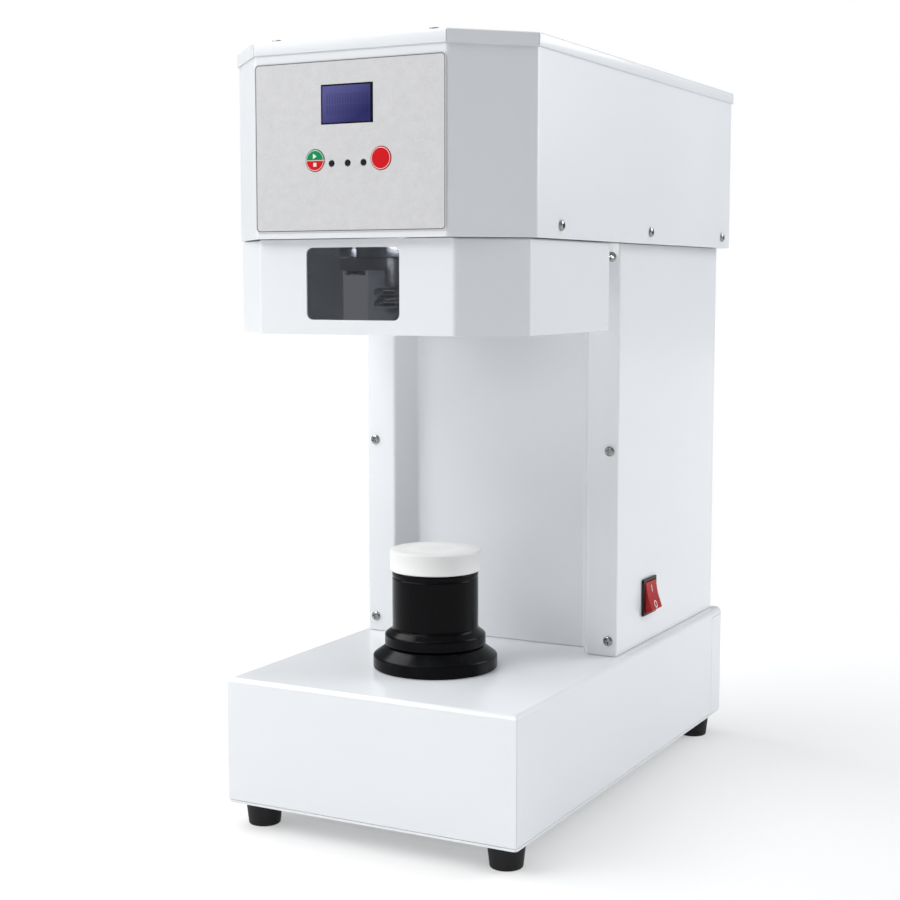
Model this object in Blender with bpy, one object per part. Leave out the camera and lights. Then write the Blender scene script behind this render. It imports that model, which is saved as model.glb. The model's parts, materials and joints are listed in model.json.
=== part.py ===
"""Desktop can seamer, built as separate sub-parts. Metres, +Z up, front towards -Y.

The origin lies on the surface that the feet stand on, under the middle of the machine.
"""

import math

import bmesh
import bpy
from mathutils.geometry import tessellate_polygon

MM = 0.001
GAP = 0.3 * MM  # between pieces that touch or run in each other
TINY = 1e-7

# ---------------------------------------------------------------- overall sizes
SHEET = 1.5 * MM
BASE_WIDTH = 250 * MM
BASE_DEPTH = 447.7 * MM
BASE_HEIGHT = 99.5 * MM
FOOT_HEIGHT = 20 * MM
COLUMN_WIDTH = 233.8 * MM
COLUMN_DEPTH = 237 * MM
COLUMN_HEIGHT = 337 * MM
CASING_WIDTH = 252 * MM
CASING_DEPTH = 470.6 * MM
CASING_HEIGHT = 131.7 * MM
CASING_CHAMFER = 46.9 * MM
LID_SHEET = 1.0 * MM
LID_SKIRT = 9.5 * MM
GUARD_HEIGHT = 69 * MM
LIFT_TRAVEL = 25 * MM

# ---------------------------------------------------------------- levels and lines
CASING_OVERHANG = 18.9 * MM  # how far the casing stands out in front of the base
LID_OVERHANG = LID_SHEET + GAP
SCREW_HEAD_RADIUS = 3.3 * MM
SCREW_HEAD_HEIGHT = 2.2 * MM
LID_SCREW_X = 65 * MM  # of the lid's front and back screws
LID_SCREW_INSET = 8.3 * MM
LID_SIDE_SCREW_INSET = 8 * MM
LID_SIDE_SCREW_FRONT = 99.3 * MM  # from the front of the casing
LID_SIDE_SCREW_BACK = 73.3 * MM  # from the back of the casing
CASING_SCREW_FRONT = 87.6 * MM
CASING_SCREW_MIDDLE = 266.9 * MM
CASING_SCREW_BACK = 23.5 * MM
CASING_SCREW_RISE = 9.5 * MM  # above the underside of the casing
FLANGE_SCREW_INSET = 6.9 * MM
FLANGE_SCREW_LOW = 13 * MM
FLANGE_SCREW_MIDDLE = 169.3 * MM
FLANGE_SCREW_HIGH = 11.1 * MM
BASE_FRONT = -(CASING_DEPTH - 2 * CASING_OVERHANG) / 2
BASE_BACK = BASE_FRONT + BASE_DEPTH
BASE_BOTTOM = FOOT_HEIGHT
BASE_TOP = BASE_BOTTOM + BASE_HEIGHT
COLUMN_BACK = BASE_BACK - 6.6 * MM
COLUMN_FRONT = COLUMN_BACK - COLUMN_DEPTH
HEAD_LEVEL = BASE_TOP + COLUMN_HEIGHT  # underside of the upper casing
CASING_FRONT = BASE_FRONT - CASING_OVERHANG
CASING_BACK = CASING_FRONT + CASING_DEPTH
SKIRT_LEVEL = HEAD_LEVEL + CASING_HEIGHT
TOP_LEVEL = SKIRT_LEVEL + LID_SKIRT
CASING_TOP = TOP_LEVEL - LID_SHEET - GAP
GUARD_BOTTOM = HEAD_LEVEL - GUARD_HEIGHT
AXIS_Y = BASE_FRONT + 110 * MM  # seaming head and can stand share this axis
LID_SCREWS = (
    (LID_SCREW_X, CASING_FRONT + LID_SCREW_INSET),
    (CASING_WIDTH / 2 - LID_SIDE_SCREW_INSET, CASING_FRONT + LID_SIDE_SCREW_FRONT),
    (CASING_WIDTH / 2 - LID_SIDE_SCREW_INSET, CASING_BACK - LID_SIDE_SCREW_BACK),
    (LID_SCREW_X, CASING_BACK - LID_SCREW_INSET),
)
CASING_SCREW_YS = (
    CASING_FRONT + CASING_SCREW_FRONT,
    CASING_FRONT + CASING_SCREW_MIDDLE,
    CASING_BACK - CASING_SCREW_BACK,
)
CASING_SCREW_LEVEL = HEAD_LEVEL + CASING_SCREW_RISE
FLANGE_SCREW_X = COLUMN_WIDTH / 2 - FLANGE_SCREW_INSET
FLANGE_SCREW_LEVELS = (
    BASE_TOP + FLANGE_SCREW_LOW,
    BASE_TOP + FLANGE_SCREW_MIDDLE,
    HEAD_LEVEL - FLANGE_SCREW_HIGH,
)

# ---------------------------------------------------------------- base and column
BASE_EDGE_RADIUS = 5 * MM
BASE_PLATE_SHEET = 2 * MM
REAR_PANEL_WRAP = 25 * MM
FOOT_TOP_RADIUS = 14.9 * MM
FOOT_BOTTOM_RADIUS = 12.4 * MM
FOOT_X = 106.3 * MM
FOOT_FRONT_Y = BASE_FRONT + 22.5 * MM
FOOT_REAR_Y = BASE_FRONT + 425.7 * MM
FLANGE_WIDTH = 25.9 * MM
RECESS_DEPTH = 22.3 * MM
RECESS_SPLAY = 12 * MM
WIRE_OPENING_INSET = 7 * MM
POST_WIDTH = 24 * MM
POST_DEPTH = 40 * MM
POST_SHEET = 3 * MM
POST_INSET = 7 * MM
VENT_COUNT = 6
VENT_LENGTH = 90 * MM
VENT_HEIGHT = 3.4 * MM
VENT_PITCH = 11 * MM
VENT_LEVEL = HEAD_LEVEL - 115 * MM

# ---------------------------------------------------------------- power switch and inlet
SWITCH_Y = BASE_FRONT + 275.6 * MM
SWITCH_LEVEL = BASE_BOTTOM + 138.9 * MM
SWITCH_WIDTH = 30 * MM
SWITCH_HEIGHT = 31.6 * MM
SWITCH_BEZEL = 2 * MM
SWITCH_RIM = 2.6 * MM
SWITCH_LIP = 1.2 * MM
SWITCH_BODY_DEPTH = 20 * MM
ROCKER_RADIUS = 12.9 * MM
ROCKER_TILT = math.radians(15)
ROCKER_PIVOT_DEPTH = 0.5 * MM
ROCKER_END_ANGLE = math.radians(71.4)
INLET_X = 70 * MM
INLET_WIDTH = 30 * MM
INLET_HEIGHT = 23 * MM
INLET_LEVEL = BASE_TOP + 38 * MM
INLET_DEPTH = 24 * MM
INLET_SOCKET_DEPTH = 18 * MM
INLET_RIM = 4 * MM
INLET_FACE = 3 * MM
PIN_LENGTH = 10 * MM

# ---------------------------------------------------------------- head plate, guard and window
HEAD_PLATE = 6 * MM
GUARD_FRONT_WIDTH = 162 * MM
GUARD_WIDTH = 244.2 * MM
GUARD_SETBACK = 6.8 * MM
GUARD_CHAMFER_DEPTH = 36.9 * MM
GUARD_BACK = BASE_FRONT + 170 * MM
GUARD_FLANGE = 12 * MM
WINDOW_WIDTH = 77.6 * MM
WINDOW_HEIGHT = 52.2 * MM
WINDOW_X = -1.6 * MM
WINDOW_LEVEL = HEAD_LEVEL - 32.4 * MM
WINDOW_RADIUS = 4.6 * MM
PANE_THICKNESS = 2 * MM
PANE_BORDER = 3.6 * MM

# ---------------------------------------------------------------- control panel
PANEL_WIDTH = 157.6 * MM
PANEL_HEIGHT = 121 * MM
PANEL_LEVEL = HEAD_LEVEL + 65 * MM
PANEL_RADIUS = 3.5 * MM
PANEL_SHEET = 0.5 * MM
DISPLAY_WIDTH = 43 * MM
DISPLAY_HEIGHT = 28 * MM
DISPLAY_X = -0.6 * MM
DISPLAY_LEVEL = HEAD_LEVEL + 94.3 * MM
DISPLAY_RIM = 1.5 * MM
BUTTON_LEVEL = HEAD_LEVEL + 55.3 * MM
BUTTON_PROUD = 0.5 * MM
BUTTON_LIP = 1.4 * MM
BUTTON_FLANGE = 1.0 * MM
BUTTON_TRAVEL = 1.0 * MM
START_X = -27.3 * MM
START_RADIUS = 7.8 * MM
EMERGENCY_X = 27.2 * MM
EMERGENCY_RADIUS = 8.2 * MM
LAMP_XS = (-13.5 * MM, -0.2 * MM, 12.9 * MM)
LAMP_LEVEL = HEAD_LEVEL + 52.8 * MM
LAMP_RADIUS = 2.25 * MM
BOARD_SHEET = 1.6 * MM
BOARD_SETBACK = 6.5 * MM

# ---------------------------------------------------------------- seaming head
DISC_RADIUS = 62 * MM
DISC_THICKNESS = 10 * MM
DISC_CLEARANCE = 2.5 * MM
ARM_THICKNESS = 9.5 * MM
ARM_PIVOT_RADIUS = 62 * MM
ARM_PIN_RADIUS = 5 * MM
ARM_PIN_HEAD = 8 * MM
ARM_BOSS_RADIUS = 12 * MM
ARM_END_RADIUS = 9 * MM
ROLLER_ORBIT = 48 * MM
ROLLER_ANGLE = math.radians(50)
ROLLER_RADIUS = 15 * MM
ROLLER_HEIGHT = 16 * MM
ROLLER_AXLE_RADIUS = 4 * MM
ROLLER_COLLAR = 7 * MM
FIRST_GROOVE = 1.8 * MM
SECOND_GROOVE = 1.0 * MM
FIRST_ARM_ANGLE = math.radians(208)
FOLLOWER_ORBIT = 36 * MM
FOLLOWER_RADIUS = 5 * MM
CAM_LOBE = 5 * MM
CHUCK_RADIUS = 26 * MM
CHUCK_HEIGHT = 20 * MM
CENTRE_SHAFT_RADIUS = 8.5 * MM
SLEEVE_RADIUS = 12 * MM
ROTOR_SHAFT_RADIUS = 17.5 * MM
BEARING_RADIUS = 23.5 * MM
BEARING_WIDTH = 12 * MM
HOUSING_RADIUS = 30 * MM
HOUSING_FLANGE_RADIUS = 42 * MM
HOUSING_LENGTH = 48 * MM
ROTOR_PULLEY_RADIUS = 45 * MM
CAM_PULLEY_RADIUS = 43.5 * MM
MOTOR_PULLEY_RADIUS = 15 * MM
PULLEY_WIDTH = 18 * MM
PULLEY_FLANGE = 2 * MM
BELT_THICKNESS = 2 * MM
BRIDGE_HALF_SPAN = 66 * MM
BRIDGE_SHEET = 6 * MM
BRIDGE_DEPTH = 40 * MM
SHAFT_NUT_RADIUS = 14 * MM
SHAFT_NUT_HEIGHT = 8 * MM
MOTOR_Y = AXIS_Y + 220 * MM
MOTOR_RADIUS = 50 * MM
MOTOR_LENGTH = 140 * MM
MOTOR_SHAFT_RADIUS = 7 * MM

# ---------------------------------------------------------------- can stand and lift
COLLAR_FLANGE_RADIUS = 49.7 * MM
COLLAR_FLANGE_HEIGHT = 9.8 * MM
COLLAR_CONE_RADIUS = 38.8 * MM
COLLAR_CONE_HEIGHT = 8 * MM
COLLAR_BOSS_RADIUS = 30 * MM
BUSH_RADIUS = 26 * MM
SPINDLE_RADIUS = 20 * MM
SPINDLE_BORE = 11.8 * MM
BEAD_RADIUS = 40.3 * MM
BEAD_HEIGHT = 8.6 * MM
BEAD_SLOPE = 4 * MM
TUBE_RADIUS = 34.3 * MM
TUBE_WALL = 3.3 * MM
TUBE_TOP = BASE_TOP + 77.6 * MM
TRAY_RADIUS = 36.1 * MM
TRAY_TOP = BASE_TOP + 95.2 * MM
SCREW_RADIUS = 5 * MM
SCREW_PULLEY_RADIUS = 18 * MM
LIFT_PULLEY_RADIUS = 9 * MM
LIFT_PULLEY_WIDTH = 10 * MM
LIFT_FRAME_LEVEL = BASE_BOTTOM + 24 * MM
LIFT_FRAME_SHEET = 3 * MM
LIFT_MOTOR_Y = AXIS_Y + 75 * MM
LIFT_MOTOR_RADIUS = 28 * MM
LIFT_MOTOR_LENGTH = 56 * MM

# ---------------------------------------------------------------- materials


def material(name, colour, roughness, metallic=0.0):
    made = bpy.data.materials.new(name)
    made.use_nodes = True
    shader = made.node_tree.nodes["Principled BSDF"]
    shader.inputs["Base Color"].default_value = (*colour, 1.0)
    shader.inputs["Roughness"].default_value = roughness
    shader.inputs["Metallic"].default_value = metallic
    return made


# ---------------------------------------------------------------- shape helpers


def prism(loops, low, high, axis="Z"):
    """A flat outline (first loop) with holes (the others), pushed from low to high along an axis.

    On Z the loop's numbers are x and y, on Y they are x and z, and on X they are y and z.
    """
    places = {
        "X": lambda a, b, h: (h, a, b),
        "Y": lambda a, b, h: (a, h, b),
        "Z": lambda a, b, h: (a, b, h),
    }
    place = places[axis]
    flat = [point for loop in loops for point in loop]
    triangles = tessellate_polygon([[(a, b, 0.0) for a, b in loop] for loop in loops])
    bm = bmesh.new()
    bottom = [bm.verts.new(place(a, b, low)) for a, b in flat]
    top = [bm.verts.new(place(a, b, high)) for a, b in flat]
    for triangle in triangles:
        bm.faces.new([bottom[i] for i in triangle])
        bm.faces.new([top[i] for i in reversed(triangle)])
    first = 0
    for loop in loops:
        count = len(loop)
        for i in range(count):
            here = first + i
            after = first + (i + 1) % count
            bm.faces.new([bottom[here], bottom[after], top[after], top[here]])
        first += count
    bmesh.ops.recalc_face_normals(bm, faces=bm.faces)
    return bm


def block(low, high):
    outline = [(low[0], low[1]), (high[0], low[1]), (high[0], high[1]), (low[0], high[1])]
    return prism([outline], low[2], high[2])


def turned(profile, segments=24):
    """A closed (radius, height) outline turned about the Z axis."""
    bm = bmesh.new()
    rings = []
    for radius, height in profile:
        if radius < TINY:
            rings.append([bm.verts.new((0.0, 0.0, height))])
            continue
        ring = []
        for i in range(segments):
            angle = 2 * math.pi * i / segments
            ring.append(bm.verts.new((radius * math.cos(angle), radius * math.sin(angle), height)))
        rings.append(ring)
    for lower, upper in zip(rings, rings[1:] + rings[:1]):
        if len(lower) == 1 and len(upper) == 1:
            continue
        for i in range(segments):
            j = (i + 1) % segments
            corners = [
                lower[i % len(lower)],
                lower[j % len(lower)],
                upper[j % len(upper)],
                upper[i % len(upper)],
            ]
            bm.faces.new(list(dict.fromkeys(corners)))
    bmesh.ops.recalc_face_normals(bm, faces=bm.faces)
    return bm


def circle(x, y, radius, segments=24):
    steps = [2 * math.pi * i / segments for i in range(segments)]
    return [(x + radius * math.cos(a), y + radius * math.sin(a)) for a in steps]


def rectangle(x, y, width, height):
    return [
        (x - width / 2, y - height / 2),
        (x + width / 2, y - height / 2),
        (x + width / 2, y + height / 2),
        (x - width / 2, y + height / 2),
    ]


def rounded_rectangle(x, y, width, height, radius, steps=4):
    points = []
    corners = ((1, 1, 0), (-1, 1, 90), (-1, -1, 180), (1, -1, 270))
    for side_x, side_y, start in corners:
        centre_x = x + side_x * (width / 2 - radius)
        centre_y = y + side_y * (height / 2 - radius)
        for i in range(steps + 1):
            angle = math.radians(start + 90 * i / steps)
            points.append((centre_x + radius * math.cos(angle), centre_y + radius * math.sin(angle)))
    return points


def around_circles(circles, segments=24):
    """The outline of a lever: convex hull of several circles, each (x, y, radius)."""
    points = sorted({p for x, y, radius in circles for p in circle(x, y, radius, segments)})
    halves = []
    for ordered in (points, points[::-1]):
        half = []
        for point in ordered:
            while len(half) > 1 and turn(half[-2], half[-1], point) <= TINY * MM:
                half.pop()
            half.append(point)
        halves.append(half[:-1])
    return halves[0] + halves[1]


def turn(a, b, c):
    return (b[0] - a[0]) * (c[1] - a[1]) - (b[1] - a[1]) * (c[0] - a[0])


def stepped_out(outline, distance):
    """The outline of a convex, anticlockwise polygon moved outwards (or inwards if negative)."""
    count = len(outline)
    moved = []
    for i in range(count):
        before = outline[i - 1]
        here = outline[i]
        after = outline[(i + 1) % count]
        first = direction(before, here)
        second = direction(here, after)
        share = distance / (1 + first[0] * second[0] + first[1] * second[1])
        normal_x = first[1] + second[1]
        normal_y = -first[0] - second[0]
        moved.append((here[0] + share * normal_x, here[1] + share * normal_y))
    return moved


def direction(a, b):
    length = math.hypot(b[0] - a[0], b[1] - a[1])
    return (b[0] - a[0]) / length, (b[1] - a[1]) / length


def strip(path, thickness):
    """The outline of a bent sheet: an open path and the same path moved to its left."""
    left = []
    for i, here in enumerate(path):
        first = direction(path[max(i - 1, 0)], path[max(i, 1)])
        second = direction(path[min(i, len(path) - 2)], path[min(i + 1, len(path) - 1)])
        share = thickness / (1 + first[0] * second[0] + first[1] * second[1])
        left.append(
            (
                here[0] - share * (first[1] + second[1]),
                here[1] + share * (first[0] + second[0]),
            )
        )
    return path + left[::-1]


# ---------------------------------------------------------------- object helpers


def add(name, bm, finish, location=(0.0, 0.0, 0.0), parent=None):
    """An object from a bmesh, shaded smooth with sharp edges kept."""
    mesh = bpy.data.meshes.new(name)
    bm.to_mesh(mesh)
    bm.free()
    mesh.shade_smooth()
    mesh.set_sharp_from_angle(angle=math.radians(32))
    mesh.materials.append(finish)
    made = bpy.data.objects.new(name, mesh)
    made.location = location
    made.parent = parent
    bpy.context.scene.collection.objects.link(made)
    return made


def axis_at(name, location, parent=None):
    """An empty that carries a moving body on its joint."""
    made = bpy.data.objects.new(name, None)
    made.location = location
    made.parent = parent
    bpy.context.scene.collection.objects.link(made)
    return made


def helper(name, bm, target):
    """A hidden cutter or addition, placed like its target."""
    mesh = bpy.data.meshes.new(name)
    bm.to_mesh(mesh)
    bm.free()
    made = bpy.data.objects.new(name, mesh)
    made.location = target.location
    made.parent = target.parent
    made.hide_render = True
    made.display_type = "WIRE"
    bpy.context.scene.collection.objects.link(made)
    return made


def combine(target, bm, operation):
    count = len(target.modifiers) + 1
    modifier = target.modifiers.new(f"{operation.lower()}_{count}", "BOOLEAN")
    modifier.operation = operation
    modifier.solver = "EXACT"
    modifier.object = helper(f"{target.name}.{modifier.name}", bm, target)


def cut(target, bm):
    combine(target, bm, "DIFFERENCE")


def join(target, bm):
    combine(target, bm, "UNION")


def shifted(bm, x=0.0, y=0.0, z=0.0):
    for vertex in bm.verts:
        vertex.co.x += x
        vertex.co.y += y
        vertex.co.z += z
    return bm


def several(pieces):
    """One bmesh that holds several bmeshes which don't touch."""
    whole = bmesh.new()
    for piece in pieces:
        mesh = bpy.data.meshes.new("several")
        piece.to_mesh(mesh)
        piece.free()
        whole.from_mesh(mesh)
        bpy.data.meshes.remove(mesh)
    return whole


def add_screw_heads(sheet, places, low, high, axis):
    """Joins a round screw head at each place to the sheet metal that it holds."""
    heads = [prism([circle(a, b, SCREW_HEAD_RADIUS, 12)], low, high, axis) for a, b in places]
    join(sheet, several(heads))


def chamfered_plan(width, front_width, front, chamfer_depth, back):
    """The plan of the casing and of the guard: a box with its two front corners cut off."""
    return [
        (-front_width / 2, front),
        (front_width / 2, front),
        (width / 2, front + chamfer_depth),
        (width / 2, back),
        (-width / 2, back),
        (-width / 2, front + chamfer_depth),
    ]


PASS = 2 * MM  # how far a cutter runs past the face it cuts

# ---------------------------------------------------------------- base


def make_base(paint, rubber):
    half = BASE_WIDTH / 2
    plate_top = BASE_BOTTOM + BASE_PLATE_SHEET
    middle_y = (BASE_FRONT + BASE_BACK) / 2
    plate_corner = 3 * MM
    outline = rounded_rectangle(0, middle_y, BASE_WIDTH, BASE_DEPTH, plate_corner, 3)
    add("base_plate", prism([outline], BASE_BOTTOM, plate_top), paint)

    bottom = plate_top + GAP
    back = BASE_BACK - SHEET - GAP
    outer = block((-half, BASE_FRONT, bottom), (half, back, BASE_TOP))
    round_top_edges(outer, half, BASE_EDGE_RADIUS)
    cover = add("base_cover", outer, paint)
    inner = block(
        (-half + SHEET, BASE_FRONT + SHEET, bottom - PASS),
        (half - SHEET, back + PASS, BASE_TOP - SHEET),
    )
    round_top_edges(inner, half - SHEET, BASE_EDGE_RADIUS - SHEET)
    cut(cover, inner)
    wrap_top = BASE_TOP - BASE_EDGE_RADIUS - SHEET
    cut(
        cover,
        block(
            (-half - PASS, BASE_BACK - REAR_PANEL_WRAP - GAP, bottom - PASS),
            (half + PASS, BASE_BACK + PASS, wrap_top + GAP),
        ),
    )
    cut(
        cover,
        prism([circle(0, AXIS_Y, COLLAR_BOSS_RADIUS + GAP, 32)], BASE_TOP - PASS, BASE_TOP + PASS),
    )
    opening_front = COLUMN_FRONT + RECESS_DEPTH + WIRE_OPENING_INSET
    opening_half = COLUMN_WIDTH / 2 - WIRE_OPENING_INSET
    cut(
        cover,
        block(
            (-opening_half, opening_front, BASE_TOP - PASS),
            (opening_half, COLUMN_BACK - WIRE_OPENING_INSET, BASE_TOP + PASS),
        ),
    )

    wrap_front = BASE_BACK - REAR_PANEL_WRAP
    path = [(half, wrap_front), (half, BASE_BACK), (-half, BASE_BACK), (-half, wrap_front)]
    rear = add("base_rear_panel", prism([strip(path, SHEET)], bottom, wrap_top), paint)
    wall = [(-half, bottom), (half, bottom)]
    for side, first in ((1, 0), (-1, 90)):
        for i in range(5):
            angle = math.radians(first + 90 * i / 4)
            x = side * (half - BASE_EDGE_RADIUS) + BASE_EDGE_RADIUS * math.cos(angle)
            wall.append((x, BASE_TOP - BASE_EDGE_RADIUS + BASE_EDGE_RADIUS * math.sin(angle)))
    join(rear, prism([wall], BASE_BACK - SHEET, BASE_BACK, "Y"))

    places = {
        "foot_front_left": (-FOOT_X, FOOT_FRONT_Y),
        "foot_front_right": (FOOT_X, FOOT_FRONT_Y),
        "foot_rear_left": (-FOOT_X, FOOT_REAR_Y),
        "foot_rear_right": (FOOT_X, FOOT_REAR_Y),
    }
    for name, (x, y) in places.items():
        add(name, foot(), rubber, (x, y, 0))


def foot():
    edge = 1 * MM
    recess_radius = 6 * MM
    recess_depth = 8 * MM
    top = FOOT_HEIGHT - GAP
    profile = [
        (recess_radius, 0),
        (FOOT_BOTTOM_RADIUS - edge, 0),
        (FOOT_BOTTOM_RADIUS, edge),
        (FOOT_TOP_RADIUS, top),
        (0, top),
        (0, recess_depth),
        (recess_radius, recess_depth),
    ]
    return turned(profile)


def round_top_edges(bm, half, radius):
    """Rounds the front and side edges of a box's top face."""
    top = max(v.co.z for v in bm.verts)
    front = min(v.co.y for v in bm.verts)
    chosen = []
    for edge in bm.edges:
        a, b = (v.co for v in edge.verts)
        if min(a.z, b.z) < top - TINY:
            continue
        at_front = max(a.y, b.y) < front + TINY
        at_side = abs(a.x - b.x) < TINY and abs(a.x) > half - TINY and abs(a.y - b.y) > TINY
        if at_front or at_side:
            chosen.append(edge)
    bmesh.ops.bevel(bm, geom=chosen, offset=radius, segments=4, profile=0.5, affect="EDGES")


# ---------------------------------------------------------------- column


def make_column(paint, steel):
    half = COLUMN_WIDTH / 2
    low = BASE_TOP + GAP
    high = HEAD_LEVEL - GAP
    flange_edge = half - FLANGE_WIDTH
    recess_edge = flange_edge - RECESS_SPLAY
    recess_y = COLUMN_FRONT + RECESS_DEPTH
    path = [
        (-half, COLUMN_FRONT),
        (-flange_edge, COLUMN_FRONT),
        (-recess_edge, recess_y),
        (recess_edge, recess_y),
        (flange_edge, COLUMN_FRONT),
        (half, COLUMN_FRONT),
    ]
    panel = add("column_front_panel", prism([strip(path, SHEET)], low, high), paint)
    places = [(x, z) for x in (-FLANGE_SCREW_X, FLANGE_SCREW_X) for z in FLANGE_SCREW_LEVELS]
    add_screw_heads(panel, places, COLUMN_FRONT - SCREW_HEAD_HEIGHT, COLUMN_FRONT + SHEET / 2, "Y")

    start = COLUMN_FRONT + SHEET + GAP
    path = [(half, start), (half, COLUMN_BACK), (-half, COLUMN_BACK), (-half, start)]
    cover = add("column_cover", prism([strip(path, SHEET)], low, high), paint)
    hole_width = SWITCH_WIDTH - 2 * SWITCH_LIP
    hole_height = SWITCH_HEIGHT - 2 * SWITCH_LIP
    switch_hole = rectangle(SWITCH_Y, SWITCH_LEVEL, hole_width, hole_height)
    cut(cover, prism([switch_hole], half - SHEET - PASS, half + PASS, "X"))
    back_cuts = [rectangle(INLET_X, INLET_LEVEL, INLET_WIDTH + 2 * GAP, INLET_HEIGHT + 2 * GAP)]
    for i in range(VENT_COUNT):
        level = VENT_LEVEL + i * VENT_PITCH
        back_cuts.append(rectangle(0, level, VENT_LENGTH, VENT_HEIGHT))
    slots = [prism([loop], COLUMN_BACK - SHEET - PASS, COLUMN_BACK + PASS, "Y") for loop in back_cuts]
    cut(cover, several(slots))

    outer_x = half - SHEET - POST_INSET
    inner_x = outer_x - POST_WIDTH
    middle_y = (COLUMN_FRONT + COLUMN_BACK) / 2
    near = middle_y - POST_DEPTH / 2
    far = middle_y + POST_DEPTH / 2
    path = [(inner_x, near), (outer_x, near), (outer_x, far), (inner_x, far)]
    post_low = BASE_BOTTOM + BASE_PLATE_SHEET + GAP
    right = strip(path, POST_SHEET)
    left = [(-x, y) for x, y in right]
    add("column_post_right", prism([right], post_low, high), steel)
    add("column_post_left", prism([left], post_low, high), steel)


# ---------------------------------------------------------------- power switch and inlet


def make_power_switch(black, red):
    half = COLUMN_WIDTH / 2
    face = half + GAP + SWITCH_BEZEL
    body_back = face - SWITCH_BODY_DEPTH
    bezel = rectangle(SWITCH_Y, SWITCH_LEVEL, SWITCH_WIDTH, SWITCH_HEIGHT)
    body_width = SWITCH_WIDTH - 2 * (SWITCH_LIP + GAP)
    body_height = SWITCH_HEIGHT - 2 * (SWITCH_LIP + GAP)
    body = rectangle(SWITCH_Y, SWITCH_LEVEL, body_width, body_height)
    frame = add("rocker_frame", prism([bezel], half + GAP, face, "X"), black)
    join(frame, prism([body], body_back, face - GAP, "X"))
    pocket_width = SWITCH_WIDTH - 2 * SWITCH_RIM
    pocket_height = SWITCH_HEIGHT - 2 * SWITCH_RIM
    pocket = rectangle(SWITCH_Y, SWITCH_LEVEL, pocket_width, pocket_height)
    cut(frame, prism([pocket], body_back + SHEET, face + PASS, "X"))

    pivot = (face - ROCKER_PIVOT_DEPTH, SWITCH_Y, SWITCH_LEVEL)
    rocker_half = pocket_width / 2 - GAP
    arc = []
    for i in range(5):
        angle = ROCKER_END_ANGLE + (math.radians(110) - ROCKER_END_ANGLE) * i / 4
        arc.append((ROCKER_RADIUS * math.cos(angle), ROCKER_RADIUS * math.sin(angle)))
    dip = (3.2 * MM, 0)
    back = (-7 * MM, 5 * MM)
    upper = [*arc, back]
    outline = [dip, *upper, *[(a, -b) for a, b in reversed(upper)]]
    rocker = add("power_rocker", prism([outline], -rocker_half, rocker_half, "Y"), red, pivot)
    rocker.rotation_euler = (0, -ROCKER_TILT, 0)


def make_inlet(black):
    face = COLUMN_BACK + GAP + INLET_FACE
    flange = rectangle(INLET_X, INLET_LEVEL, INLET_WIDTH + 2 * INLET_RIM, INLET_HEIGHT + 2 * INLET_RIM)
    inlet = add("power_inlet", prism([flange], COLUMN_BACK + GAP, face, "Y"), black)
    body = rectangle(INLET_X, INLET_LEVEL, INLET_WIDTH, INLET_HEIGHT)
    join(inlet, prism([body], face - INLET_DEPTH, face - GAP, "Y"))
    wall = 2.5 * MM
    socket = rectangle(INLET_X, INLET_LEVEL, INLET_WIDTH - 2 * wall, INLET_HEIGHT - 2 * wall)
    floor = face - INLET_SOCKET_DEPTH
    cut(inlet, prism([socket], floor, face + PASS, "Y"))
    pins = []
    for x, z in ((-7 * MM, -2 * MM), (0, 2 * MM), (7 * MM, -2 * MM)):
        pin = rectangle(INLET_X + x, INLET_LEVEL + z, 2 * MM, 4 * MM)
        pins.append(prism([pin], floor - MM, floor + PIN_LENGTH, "Y"))
    join(inlet, several(pins))


# ---------------------------------------------------------------- casing, lid and guard


def casing_plan():
    front_width = CASING_WIDTH - 2 * CASING_CHAMFER
    return chamfered_plan(CASING_WIDTH, front_width, CASING_FRONT, CASING_CHAMFER, CASING_BACK)


def make_head_plate(steel):
    outline = stepped_out(casing_plan(), -SHEET - GAP)
    holes = [
        circle(0, AXIS_Y, HOUSING_RADIUS + GAP, 32),
        circle(0, MOTOR_Y, 2 * MOTOR_SHAFT_RADIUS, 24),
        circle(-70 * MM, 40 * MM, 12 * MM, 16),
    ]
    add("head_plate", prism([outline, *holes], HEAD_LEVEL, HEAD_LEVEL + HEAD_PLATE), steel)


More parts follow.
